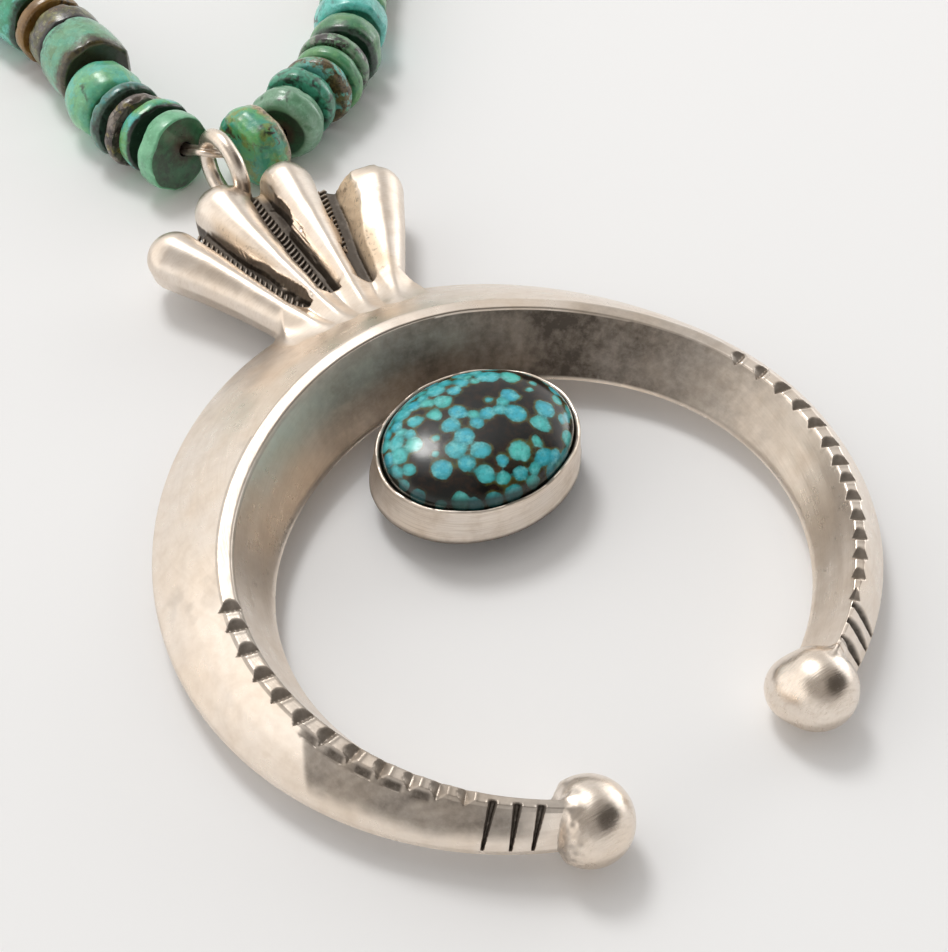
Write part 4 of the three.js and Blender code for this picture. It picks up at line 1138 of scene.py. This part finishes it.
def turquoise(name, base, alt, third=None, web=(0.014, 0.012, 0.010), web_amt=0.5, web_scale=0.35, web_w=0.05, patch=None, patch_amt=0.0, seed=0,
              rough=0.29, face=None, edge=None, hole=(0.03, 0.022, 0.015), band=0.0, coat=0.42, near=None, far=None, mott=0.45):
    """Turquoise with host-rock matrix: two or three ground colours, a broken web, patches; painted shade on the drilled
    face, round its hole and on the near end, and a lighter far end
    """
    base, alt = tuple(min(0.9, c * 1.16) for c in base), tuple(min(0.9, c * 1.16) for c in alt)
    m, nt, bs = new_mat(name)
    n = N(nt)
    off = (seed * 3.17, seed * 5.31, seed * 1.93)
    co = n.coord(offset=off)
    wv = n.vadd(co, n.noisec(co, 0.45, 3), 2.4)
    a = n.ramp(n.noise(wv, 0.32, 4, 0.55), [(0.40, 0.0), (0.58, 1.0)])
    col = n.mix(a, base, alt)
    if third is not None:
        c3 = n.ramp(n.noise(n.vadd(co, n.noisec(co, 0.8, 2), 1.2), 0.5, 3, 0.6, 0.4), [(0.51, 0.0), (0.60, 1.0)])
        col = n.mix(c3, col, third)
    if band:
        bd = n.node("ShaderNodeTexWave", wave_type="BANDS", bands_direction="DIAGONAL")
        n.link(wv, bd.inputs["Vector"])
        bd.inputs["Scale"].default_value = 0.22
        bd.inputs["Distortion"].default_value = 3.0
        bd.inputs["Detail"].default_value = 2.0
        col = n.mix(n.math("MULTIPLY", n.ramp(bd.outputs["Fac"], [(0.35, 0.0), (0.65, 1.0)]), band), col, third or alt)
    # streaky mottling in the ground
    dk = n.ramp(n.noise(n.vadd(co, n.noisec(co, 1.1, 2), 0.8), 1.3, 5, 0.68), [(0.30, 1.0), (0.52, 0.0)])
    col = n.mix(n.math("MULTIPLY", dk, mott), col, tuple(c * 0.42 for c in alt))
    lt = n.ramp(n.noise(co, 1.5, 5, 0.66), [(0.54, 0.0), (0.72, 1.0)])
    col = n.mix(n.math("MULTIPLY", lt, mott), col, tuple(min(0.8, c * 1.35 + 0.10) for c in base))
    if patch is not None:
        pm = n.ramp(n.noise(n.vadd(co, n.noisec(co, 0.5, 3), 2.0), 0.38, 5, 0.62, 0.3), [(0.62 - 0.22 * patch_amt, 0.0), (0.68 - 0.22 * patch_amt, 1.0)])
        sp = n.mix(n.ramp(n.noise(co, 2.2, 3, 0.7), [(0.42, 0.0), (0.6, 1.0)]), patch, tuple(c * 0.32 for c in patch))
        col = n.mix(pm, col, sp)
    if web_amt > 0:
        wd = n.vadd(co, n.noisec(co, 0.7, 4), 1.5)
        e = n.vor(wd, web_scale)
        gate = n.ramp(n.noise(co, 0.3, 2, 0.5), [(0.60 - 0.3 * web_amt, 0.0), (0.68 - 0.2 * web_amt, 1.0)])
        line = n.ramp(e, [(0.0, 1.0), (web_w, 0.75), (web_w * 2.0, 0.0)])
        e2 = n.vor(wd, web_scale * 2.7)
        line2 = n.ramp(e2, [(0.0, 0.8), (web_w * 0.9, 0.0)])
        gate2 = n.ramp(n.noise(co, 0.5, 2, 0.5), [(0.52, 0.0), (0.62, 1.0)])
        thick = n.ramp(n.noise(co, 0.9, 3, 0.6), [(0.40, 0.25), (0.60, 1.0)])
        msk = n.math("MAXIMUM", n.math("MULTIPLY", n.math("MULTIPLY", line, gate), thick), n.math("MULTIPLY", n.math("MULTIPLY", line2, gate2), 0.7 * min(1, web_amt * 1.5)), clamp=True)
        col = n.mix(msk, col, web)
    # the near end takes a darker colour and the far end a lighter one: painted shade and painted light, partly also the
    # stone's own colour
    for c_, p_ in ((near, [(0.10, 1.0), (0.30, 0.0)]), (far, [(0.70, 0.0), (0.90, 1.0)])):
        if c_ is not None:
            e_ = n.math("ADD", n.attr("zt"), n.math("MULTIPLY", n.math("SUBTRACT", n.noise(co, 0.8, 4, 0.65), 0.5), 0.55))
            col = n.mix(n.ramp(e_, p_), col, n.mix(n.ramp(n.noise(co, 1.8, 4, 0.65), [(0.42, 0.0), (0.60, 1.0)]), c_, tuple(c * 0.35 for c in c_)))
    if edge is not None:
        em = n.math("MULTIPLY", n.attr("edge"), n.ramp(n.noise(co, 0.8, 3, 0.6), [(0.35, 0.2), (0.6, 1.0)]), clamp=True)
        col = n.mix(em, col, edge)
    # painted shade: the near drilled face takes a darker copy of the colour, with a brown ring round the hole
    if face is not None:
        fm = n.attr("face")
        fc = n.mix(n.ramp(n.noise(co, 0.42, 5, 0.65), [(0.38, 0.0), (0.60, 1.0)]), face, tuple(c * k for c, k in zip(face, (0.9, 0.45, 0.55))))
        fc = n.mix(n.ramp(n.attr("hole"), [(0.0, 0.0), (0.5, 0.8)]), fc, srgb(70, 52, 42))
        fc = n.mix(n.math("MULTIPLY", n.ramp(n.noise(co, 1.4, 4, 0.6), [(0.5, 0.0), (0.7, 1.0)]), 0.35), fc, tuple(min(1, c * 1.7 + 0.02) for c in face))
        col = n.mix(fm, col, fc)
    # near-black in and round the drill hole: painted shade
    col = n.mix(n.ramp(n.attr("hole"), [(0.55, 0.0), (0.98, 1.0)]), col, hole)
    n.val(bs.inputs["Base Color"], col)
    rg = n.math("ADD", rough - 0.10, n.math("MULTIPLY", n.noise(co, 1.2, 4, 0.6), 0.26))
    n.val(bs.inputs["Roughness"], rg)
    bs.inputs["IOR"].default_value = 1.55
    bs.inputs["Coat Weight"].default_value = coat
    bs.inputs["Coat Roughness"].default_value = 0.15
    b1 = n.bump(n.noise(co, 2.4, 4, 0.6), 0.30, 0.00007)
    b2 = n.bump(n.noise(co, 0.8, 3, 0.5), 0.35, 0.0002, b1)
    n.val(bs.inputs["Normal"], b2)
    return m


def cabochon_mat():
    """Turquoise of rounded aqua islands, merging where they crowd, in olive and near-black matrix"""
    m, nt, bs = new_mat("cabochon_turquoise")
    n = N(nt)
    co = n.coord(offset=(-CX, -CY, -BH))
    d = n.math("SUBTRACT", n.attr("isl"), 0.5)                      # 1 here is 1.6 mm
    d = n.math("ADD", d, n.math("MULTIPLY", n.math("SUBTRACT", n.noise(co, 2.6, 4, 0.65), 0.5), 0.16))
    sparse, hue = n.attr("sparse"), n.attr("hue")
    inside = n.ramp(n.math("ADD", d, 0.5), [(0.462, 0.0), (0.548, 1.0)])
    halo = n.ramp(n.math("ADD", d, 0.5), [(0.30, 0.0), (0.475, 1.0)])
    core = n.ramp(n.math("ADD", d, 0.5), [(0.50, 0.0), (0.76, 1.0)])
    aqua = n.mix(hue, srgb(62, 176, 200), srgb(88, 200, 190))
    aqua = n.mix(core, n.mix(0.72, aqua, srgb(30, 104, 94)), aqua)
    aqua = n.mix(n.math("MULTIPLY", n.ramp(n.noise(co, 1.1, 4, 0.62), [(0.48, 0.0), (0.66, 1.0)]), 0.60), aqua, srgb(128, 214, 216))
    aqua = n.mix(n.math("MULTIPLY", n.ramp(n.noise(co, 1.9, 5, 0.68), [(0.34, 1.0), (0.52, 0.0)]), 0.40), aqua, srgb(34, 108, 104))
    olive = n.mix(n.ramp(n.noise(co, 0.8, 4, 0.6), [(0.40, 0.0), (0.62, 1.0)]), srgb(84, 64, 30), srgb(94, 98, 48))
    olive = n.mix(n.math("MULTIPLY", n.ramp(n.noise(co, 2.2, 4, 0.65), [(0.5, 0.0), (0.7, 1.0)]), 0.5), olive, srgb(58, 126, 108))
    dark = n.mix(n.ramp(n.noise(co, 0.9, 5, 0.65), [(0.46, 0.0), (0.66, 1.0)]), srgb(13, 14, 12), srgb(46, 30, 19))
    dk = n.math("SUBTRACT", 1.0, n.math("MULTIPLY", halo, n.ramp(n.noise(co, 0.55, 3, 0.6), [(0.36, 0.35), (0.58, 1.0)])))
    dk = n.math("MAXIMUM", dk, n.math("MULTIPLY", sparse, 0.90), clamp=True)
    matrix = n.mix(dk, olive, dark)
    col = n.mix(inside, matrix, aqua)
    mp = n.node("ShaderNodeMapping")
    mp.inputs["Location"].default_value = (-1.1 / 10.3, -9.1 / 8.2, 0)
    mp.inputs["Scale"].default_value = (1 / 10.3, 1 / 8.2, 0)
    n.link(co, mp.inputs["Vector"])
    ln = n.node("ShaderNodeVectorMath", operation="LENGTH")
    n.link(mp.outputs[0], ln.inputs[0])
    col = n.mix(n.ramp(ln.outputs["Value"], [(0.93, 0.0), (0.985, 0.85)]), col, srgb(18, 24, 20))
    n.val(bs.inputs["Base Color"], col)
    n.val(bs.inputs["Roughness"], n.math("ADD", 0.13, n.math("MULTIPLY", n.noise(co, 1.5, 3, 0.6), 0.16)))
    bs.inputs["IOR"].default_value = 1.46
    bs.inputs["Coat Weight"].default_value = 0.15
    bs.inputs["Coat Roughness"].default_value = 0.12
    b = n.bump(n.noise(co, 0.9, 3, 0.5), 0.10, 0.0001)
    n.val(bs.inputs["Normal"], b)
    return m


# ------------------------------------------------------------------ build: pendant
def piece(o, mat, nodes):
    o.data.materials.clear()
    o.data.materials.append(mat)
    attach(o, "root")
    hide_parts(*nodes)
    return o


M_SILVER = silver("silver_crescent", brush=(0.12, 5.0), brush_amt=0.35, streak=0.14)
M_BALL = silver("silver_ball", rough=0.24, tarnish=0.26, brush_amt=0.6, streak=0.26)
M_FAN = silver("silver_fan", base=(0.81, 0.73, 0.65), pit=True, rough=0.31)
M_BEZEL = silver("silver_bezel", brush=(0.16, 5.0), rough=0.34, tarnish=0.45, brush_amt=1.8, streak=0.45)
M_PLAIN = silver("silver_plain", ox_attr=False)

def brushed(V, extra=None):
    d = {"bu": np.arctan2(V[:, 0], V[:, 1]) * 33.0, "bv": np.hypot(V[:, 0], V[:, 1]) + 0.8 * V[:, 2]}
    d.update(extra or {})
    return d


V, F, ox, ph = crescent_mesh()
zz = V[:, 2]
rr = np.hypot(V[:, 0], V[:, 1])
o_, r_, z_, n_ = crescent_at(ph)
inner = (rr < r_ - ridge_half(ph) - 0.1) & (zz > 0.25)
outer = rr > r_ + ridge_half(ph) + 0.2
mott = 0.5 + 0.5 * vnoise(V, 3.2, 71) + 0.25 * vnoise(V, 0.9, 73)
run = np.stack([(0.836 * V[:, 0] - 0.546 * V[:, 1]) / 3.2, (0.546 * V[:, 0] + 0.836 * V[:, 1]) / 0.5, 0 * rr], 1)
scr = vnoise(run, 1.0, 75) + 0.6 * vnoise(run, 0.5, 76)
band = np.interp(ph, [-62, -45, -25, 0, 20, 38, 52, 62, 74, 84, 96, 108, 118], [0.0, 0.07, 0.30, 0.42, 0.52, 0.58, 0.57, 0.53, 0.46, 0.36, 0.20, 0.07, 0.0])
patina_and_painted_shade = band * inner * (0.70 + 0.42 * mott)
edge_up = sstep(0.50, 0.95, zz / z_) * inner
patina_and_painted_shade = np.maximum(patina_and_painted_shade, 0.30 * edge_up * sstep(20, 50, ph) * sstep(96, 74, ph))
# the ridge flat darkened in three spans; on the left arm this is painted shade that dims its bright reflection
flat = (np.abs(rr - r_) < ridge_half(ph) + 0.25) & (zz > 3)
patina_and_painted_shade = np.maximum(patina_and_painted_shade, 0.22 * flat * sstep(38, 52, ph) * sstep(88, 76, ph))
patina_and_painted_shade = np.maximum(patina_and_painted_shade, 0.20 * flat * sstep(-5, -30, ph))
patina_and_painted_shade = np.maximum(patina_and_painted_shade, 0.26 * flat * sstep(-86, -89, ph))
low = (rr - r_) / (o_ - r_)
# dark patch on the lower-left arm's outer slope: painted reflection of the dark camera side, with mottling and streaks
dark = sstep(-112.4, -113.7, ph + 6 * (low - 0.5)) * sstep(-152, -143, ph) * outer * sstep(1.0, 0.72, low + 0.10 * mott)
patina_and_painted_shade = np.maximum(patina_and_painted_shade, dark * (0.345 + 0.05 * mott + 0.05 * scr + 0.05 * sstep(-120, -114, ph)))
patina_and_painted_shade = np.maximum(patina_and_painted_shade, 0.10 * sstep(0.55, 1.0, mott) * outer * sstep(-20, -50, ph) * sstep(-120, -80, ph))
patina_and_painted_shade = np.maximum(patina_and_painted_shade, 0.14 * sstep(0.35, 0.9, mott) * outer * sstep(-46, -26, ph) * sstep(30, 0, ph) * sstep(0.2, 0.7, low))
# the crescent's ox attribute carries its patina together with the painted shade above
o = make("naja_crescent", V, F, True, brushed(V, {"ox": np.clip(np.maximum(ox, patina_and_painted_shade), 0, 1)}), sharp=32)
piece(o, M_SILVER, ["naja"])

for s, nm in ((-1, "naja_ball_left"), (1, "naja_ball_right")):
    V, Q, seam = ball_end(s)
    o = make(nm, V, Q, True, {"ox": seam})
    piece(o, M_BALL, ["naja"])

V, Q = fan()
ox, pit = fan_attrs(V)
o = make("naja_fan", V, Q, True, {"ox": ox, "pit": pit})
piece(o, M_FAN, ["naja"])
V, F, ox = teeth()
o = make("naja_fan_teeth", V, F, True, {"ox": ox, "pit": 0 * ox}, sharp=50)
bm = bmesh.new()
bm.from_mesh(o.data)
bmesh.ops.recalc_face_normals(bm, faces=bm.faces)
bm.to_mesh(o.data)
bm.free()
piece(o, M_FAN, ["naja"])

V, F, ox = bezel()
o = make("naja_bezel", V, F, True, {"ox": ox, "bu": np.arctan2(V[:, 1] - BEZ["y"], V[:, 0] - BEZ["x"]) * 10.0, "bv": V[:, 2] * 1.5}, sharp=50)
piece(o, M_BEZEL, ["naja"])
V, F = ring()
o = make("naja_bail_ring", V, F, True)
piece(o, M_PLAIN, ["naja"])
V, F, at_ = stone()
o = make("stone_cabochon", V, F, True, at_, sharp=60)
piece(o, cabochon_mat(), ["stone"])

# ------------------------------------------------------------------ build: beads
G_LIGHT, G_MID, G_DARK = srgb(132, 188, 146), srgb(84, 150, 112), srgb(38, 84, 62)
MINT, TEAL, AQUA = srgb(140, 202, 170), srgb(62, 158, 138), srgb(92, 196, 186)
OLIVE, BROWN, TAN, BLACK, GREY = srgb(128, 128, 66), srgb(84, 62, 38), srgb(150, 112, 52), srgb(24, 22, 18), srgb(112, 108, 100)
# face and near colours are painted shade on the beads' near ends; far colours are partly painted light
STYLES = {
    "L01": (dict(bevel=0.28, flat=0.05, flats=5, chip=0.5, off=(-0.85, 0.25)), dict(base=srgb(112, 178, 138), alt=srgb(88, 158, 116), web_amt=0.0, face=srgb(60, 116, 82), seed=1)),
    "L02": (dict(bevel=0.45, wedge=0.35, wedge_at=1.0, lump=0.03), dict(base=srgb(70, 164, 132), alt=srgb(96, 158, 88), third=srgb(86, 188, 182), web_amt=0.25, near=srgb(30, 40, 30), seed=2)),
    "L03": (dict(bevel=0.4, chip=1.2, rough=2.0), dict(base=srgb(128, 118, 108), alt=srgb(78, 66, 60), third=srgb(146, 134, 66), web_amt=0.9, web_scale=0.8, mott=0.8, seed=3)),
    "L04": (dict(bevel=0.5, wedge=0.3, chip=1.0), dict(base=srgb(74, 116, 96), alt=srgb(38, 76, 60), third=srgb(50, 128, 124), web_amt=0.5, near=srgb(58, 86, 72), far=srgb(112, 176, 152), seed=4)),
    "L05": (dict(bevel=1.1, bulge=0.3, flats=4), dict(base=srgb(106, 170, 120), alt=srgb(84, 164, 132), third=srgb(88, 186, 164), web_amt=0.08, face=srgb(66, 112, 82), seed=5)),
    "L06": (dict(bevel=0.7, bulge=0.15, flats=4, lump=0.02), dict(base=srgb(104, 158, 120), alt=srgb(82, 156, 128), third=srgb(96, 140, 98), web_amt=0.06, band=0.35, face=srgb(46, 38, 22), near=srgb(78, 70, 38), far=srgb(104, 178, 146), seed=6)),
    "L07": (dict(bevel=0.6, chip=1.2, rough=2.0), dict(base=srgb(118, 116, 58), alt=srgb(84, 82, 50), third=srgb(104, 98, 96), web_amt=1.0, web_scale=0.6, web_w=0.09, patch=srgb(108, 82, 42), patch_amt=0.4, near=srgb(28, 26, 26), mott=0.8, seed=7)),
    "L08": (dict(bevel=0.4), dict(base=srgb(140, 106, 52), alt=srgb(110, 78, 34), web_amt=0.1, seed=8)),
    "L09": (dict(bevel=0.7), dict(base=srgb(60, 162, 130), alt=srgb(50, 138, 100), third=srgb(92, 190, 172), web_amt=0.3, face=srgb(22, 58, 36), near=srgb(26, 74, 48), seed=9)),
    "R01": (dict(bevel=1.05, bulge=0.30, flats=6, flat=0.08, chip=0.9, dome=0.55, lump=0.03, off=(1.5, -0.3)), dict(base=srgb(92, 166, 96), alt=srgb(60, 148, 122), third=srgb(124, 150, 74), web_amt=0.15, patch=srgb(84, 62, 42), patch_amt=0.30, far=srgb(192, 172, 140), seed=10)),
    "R02": (dict(bevel=1.3, bulge=0.35, lump=0.02), dict(base=srgb(112, 154, 126), alt=srgb(94, 142, 110), third=srgb(130, 172, 144), web_amt=0.05, face=srgb(28, 84, 52), seed=11)),
    "R03": (dict(bevel=0.7, bulge=0.1), dict(base=srgb(64, 146, 118), alt=srgb(72, 154, 128), third=srgb(62, 128, 98), web_amt=1.0, web_scale=0.50, web_w=0.06, seed=12)),
    "R04": (dict(bevel=0.7), dict(base=srgb(104, 178, 170), alt=srgb(86, 150, 110), third=srgb(118, 104, 62), web_amt=0.2, patch=srgb(104, 88, 52), patch_amt=0.5, seed=13)),
    "R05": (dict(bevel=0.7), dict(base=srgb(96, 148, 92), alt=srgb(74, 138, 96), web_amt=0.08, seed=14)),
    "R06": (dict(bevel=0.6, chip=1.0), dict(base=srgb(96, 138, 102), alt=srgb(70, 106, 76), third=srgb(134, 142, 128), web_amt=0.5, patch=srgb(46, 36, 32), patch_amt=0.5, seed=15)),
    "R07": (dict(bevel=0.9, bulge=0.2), dict(base=srgb(74, 132, 84), alt=srgb(56, 118, 82), third=srgb(92, 146, 94), web_amt=0.25, face=srgb(20, 60, 40), near=srgb(30, 66, 46), seed=16)),
    "R08": (dict(bevel=0.9, bulge=0.2), dict(base=srgb(78, 180, 168), alt=srgb(66, 162, 150), third=srgb(112, 204, 196), web_amt=0.15, face=srgb(36, 110, 92), seed=17)),
}
PALETTE = [
    dict(base=srgb(98, 164, 128), alt=srgb(78, 152, 126), third=AQUA, web_amt=0.2, seed=31),
    dict(base=srgb(68, 128, 94), alt=srgb(54, 106, 80), third=srgb(108, 146, 98), web_amt=0.5, seed=32),
    dict(base=srgb(74, 170, 154), alt=srgb(60, 148, 134), third=srgb(104, 192, 180), web_amt=0.35, seed=33),
    dict(base=srgb(116, 118, 64), alt=srgb(84, 90, 58), third=srgb(88, 78, 64), web_amt=0.9, web_scale=0.55, mott=0.7, seed=34),
    dict(base=srgb(116, 178, 142), alt=srgb(92, 164, 128), web_amt=0.1, seed=35),
    dict(base=srgb(60, 118, 94), alt=srgb(80, 138, 106), third=srgb(106, 88, 56), web_amt=0.6, seed=36),
    dict(base=srgb(88, 146, 98), alt=srgb(108, 158, 108), third=TEAL, web_amt=0.3, seed=37),
]
palette = [turquoise(f"turquoise_{i}", **p) for i, p in enumerate(PALETTE)]
thread_pts = []
beads = {s: all_beads(s) for s in "LR"}
for side in "LR":
    allb = beads[side]
    single, rest = allb[:20], allb[20:]
    for i, b in enumerate(single):
        key = f"{side}{i + 1:02d}"
        seed = (11 if side == "L" else 77) + i * 3
        if key in STYLES:
            st, mt = STYLES[key]
            mat = turquoise("turquoise_" + key, **mt)
        else:
            k = int(jnoise(i, 5 if side == "L" else 6) * len(palette))
            st, mat = dict(bevel=0.4 + 0.5 * jnoise(i, 9), bulge=0.2 * jnoise(i, 10)), palette[k]
        seen = key in STYLES
        V, F, fa, ed, ho, ze = bead_mesh(b, seed, st, 96 if seen else 56, True)
        o = make(f"bead_{key}_stone", V, F, True, {"face": fa, "edge": ed, "hole": ho, "zt": ze * 0.5 + 0.5}, sharp=48)
        piece(o, mat, [f"bead_{key}"])
    per = math.ceil(len(rest) / 3)
    for k in range(3):
        run = rest[k * per:(k + 1) * per]
        VV, FF, A, mi, base = [], [], {"face": [], "edge": [], "hole": [], "zt": []}, [], 0
        for j, b in enumerate(run):
            q = k * per + j
            st = dict(bevel=0.4 + 0.5 * jnoise(q, 19), bulge=0.2 * jnoise(q, 20))
            V, F, fa, ed, ho, ze = bead_mesh(b, 200 + q * 5 + (0 if side == "L" else 3), st, 40, False)
            VV.append(V)
            FF.append(F + base)
            base += len(V)
            for nm, a in zip(("face", "edge", "hole", "zt"), (fa, ed, ho, ze * 0.5 + 0.5)):
                A[nm].append(a)
            mi += [int(jnoise(q, 15 if side == "L" else 16) * len(palette))] * len(F)
        o = make(f"beads_joined_{side}{k + 1}_stones", np.vstack(VV), np.vstack(FF), True, {a: np.concatenate(v) for a, v in A.items()}, sharp=55)
        o.data.materials.clear()
        for mm in palette:
            o.data.materials.append(mm)
        o.data.polygons.foreach_set("material_index", mi)
        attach(o, "root")
        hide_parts(f"beads_joined_{side}{k + 1}")


def thread_route():
    pts = []
    L, R = beads["L"], beads["R"]
    for b in reversed(L):
        pts.append(bead_frame(b)[3] + b["off"])
    ax, sd, up, c = bead_frame(L[0])
    pts.append(c - ax * L[0]["t"] / 2 + L[0]["off"])
    pts += [np.array(p) for p in ((-2.75, 62.7, 3.85), (-2.62, 60.75, 5.05), (-1.5, 59.9, 4.95), (-0.35, 59.9, 4.35))]
    ax, sd, up, c = bead_frame(R[0])
    pts.append(c - ax * R[0]["t"] / 2 + R[0]["off"])
    for b in R:
        pts.append(bead_frame(b)[3] + b["off"])
    return pts


M_WIRE = silver("silver_wire", base=(0.76, 0.67, 0.58), rough=0.34, ox_attr=False)
tp = thread_route()
cx, cy, cyaw = route_at(ROUTE_LEN / 2)
cdir = np.array([math.cos(cyaw), math.sin(cyaw), 0])
cc = np.array([cx, cy, FLOOR + 4.5])
pts = [cc - cdir * (CLASP_LEN / 2 - 0.5)] + tp + [cc + cdir * (CLASP_LEN / 2 - 0.5)]
V, F = tube(pts, 0.36, 10, twist=0.10, strands=2, offset=0.34, steps=4)
o = make("thread_wire", V, F, True)
piece(o, M_WIRE, ["thread"])

prof = [(0.0, -6.5), (1.05, -6.5), (1.1, -6.4), (1.1, -5.5), (1.25, -5.2), (2.3, -4.3), (2.6, -3.9), (2.7, -3.4), (2.7, -2.2), (2.55, -2.0), (2.55, -1.7), (2.7, -1.5), (2.7, 1.5), (2.55, 1.7), (2.55, 2.0),
        (2.7, 2.2), (2.7, 3.4), (2.6, 3.9), (2.3, 4.3), (1.25, 5.2), (1.1, 5.5), (1.1, 6.4), (1.05, 6.5), (0.0, 6.5)]
n = 64
th = np.linspace(0, 2 * np.pi, n, endpoint=False)
sd = np.array([-cdir[1], cdir[0], 0])
rows = [cc + cdir * z + r * (np.cos(th)[:, None] * sd + np.sin(th)[:, None] * np.array([0, 0, 1.0])) for r, z in prof[1:-1]]
V = np.vstack(rows + [[cc + cdir * prof[0][1]], [cc + cdir * prof[-1][1]]])
F = [tuple(f) for f in grid_faces(len(rows), n)[:, ::-1]]
m0 = len(rows) * n
for k in range(n):
    F.append((k, (k + 1) % n, m0)[::-1])
    F.append(((m0 - n) + k, (m0 - n) + (k + 1) % n, m0 + 1))
o = make("clasp_barrel", V, F, True, sharp=30)
piece(o, M_PLAIN, ["clasp"])

# ------------------------------------------------------------------ stage, light, camera
bpy.ops.mesh.primitive_plane_add(size=1)
floor = bpy.context.object
floor.name = "floor"
floor.scale = (6, 6, 1)
fm, nt, bs = new_mat("floor_paper")
bs.inputs["Base Color"].default_value = (0.935, 0.942, 0.955, 1)
bs.inputs["Roughness"].default_value = 0.85
bs.inputs["Specular IOR Level"].default_value = 0.2
floor.data.materials.append(fm)

w = bpy.data.worlds.new("studio")
bpy.context.scene.world = w
w.use_nodes = True
wn = N(w.node_tree)
gen = wn.node("ShaderNodeTexCoord").outputs["Generated"]


def wdot(v):
    v = np.array(v, float)
    v /= np.linalg.norm(v)
    d = wn.node("ShaderNodeVectorMath", operation="DOT_PRODUCT")
    wn.link(gen, d.inputs[0])
    d.inputs[1].default_value = tuple(v)
    return d.outputs["Value"]


def wramp(x, a, b):
    r = wn.node("ShaderNodeMapRange", interpolation_type="SMOOTHSTEP")
    wn.link(x, r.inputs[0])
    r.inputs[1].default_value, r.inputs[2].default_value = a, b
    return r.outputs[0]


def wdir(az, el):
    a, e = math.radians(az), math.radians(el)
    return (math.sin(a) * math.cos(e), math.cos(a) * math.cos(e), math.sin(e))


def blob(c, az, el, outer, inner, colour, amount=1.0):
    """A soft patch of the surroundings: centre, outer and inner angular radius, what it glows"""
    f = wramp(wdot(wdir(az, el)), math.cos(math.radians(outer)), math.cos(math.radians(inner)))
    return wn.mix(wn.math("MULTIPLY", f, amount), c, colour)


c = wn.mix(wramp(wdot((0, 0, 1)), -0.1, 0.5), (0.88, 0.865, 0.845), (0.72, 0.705, 0.69))
c = blob(c, -20, 18, 50, 20, (0.98, 0.95, 0.91))
c = blob(c, -66, 18, 44, 26, (1.33, 1.28, 1.22))
c = blob(c, 172, 68, 62, 34, (0.34, 0.32, 0.30))
c = blob(c, -108, 64, 40, 20, (0.40, 0.38, 0.36))
c = blob(c, 152, 48, 30, 17, (0.07, 0.062, 0.055))
c = blob(c, 124, 38, 25, 13, (0.06, 0.054, 0.05))
c = blob(c, 138, 43, 24, 12, (0.07, 0.062, 0.055))
c = blob(c, 80, 8, 34, 16, (1.55, 1.54, 1.52))
c = blob(c, 37, 48, 24, 10, (0.70, 0.68, 0.66), 0.8)
c = blob(c, -4, 56, 32, 16, (1.30, 1.28, 1.25))
wn.link(c, w.node_tree.nodes["Background"].inputs[0])
w.node_tree.nodes["Background"].inputs[1].default_value = 1.0


def area(name, loc, target, size, power, color=(1, 1, 1), size_y=None):
    l = bpy.data.lights.new(name, "AREA")
    l.energy = power
    l.color = color
    l.shape = "DISK"
    l.size = size
    if size_y:
        l.shape = "RECTANGLE"
        l.size_y = size_y
    o = bpy.data.objects.new(name, l)
    bpy.context.scene.collection.objects.link(o)
    loc, target = Vector(loc), Vector(target)
    o.location = loc
    o.rotation_mode = "QUATERNION"
    o.rotation_quaternion = (target - loc).to_track_quat("-Z", "Y")
    return o


def at(az, el, d):
    a, e = math.radians(az), math.radians(el)
    return tuple(np.array(T) + d * np.array([math.sin(a) * math.cos(e), math.cos(a) * math.cos(e), math.sin(e)]))


T = tuple(to_row([0, 8, 3]))
area("key", at(0, 56, 0.75), T, 0.22, 1.80, (1.0, 0.99, 0.97))
area("side", at(83, 8, 0.70), T, 0.16, 0.35, (1.0, 1.0, 1.0), 0.26)

R0 = np.array([[0.83582079, -0.54610196, 0.05635826], [-0.3857089, -0.65716671, -0.64758054], [0.39068178, 0.5195234, -0.75990999]])
C0 = to_row([-64.956, -78.531, 126.572])
cam = bpy.data.cameras.new("camera")
camo = bpy.data.objects.new("camera", cam)
bpy.context.scene.collection.objects.link(camo)
cam.sensor_width = 36
cam.lens = 1667.0155 * 36 / 952
cam.clip_start, cam.clip_end = 0.005, 20
M = Matrix.Identity(4)
for k, v in enumerate((R0[0], -R0[1], -R0[2])):
    for j in range(3):
        M[j][k] = v[j]
for j in range(3):
    M[j][3] = C0[j]
camo.matrix_world = M
bpy.context.scene.camera = camo
bpy.context.scene.view_settings.view_transform = "Standard"
bpy.context.scene.view_settings.exposure = 0.0
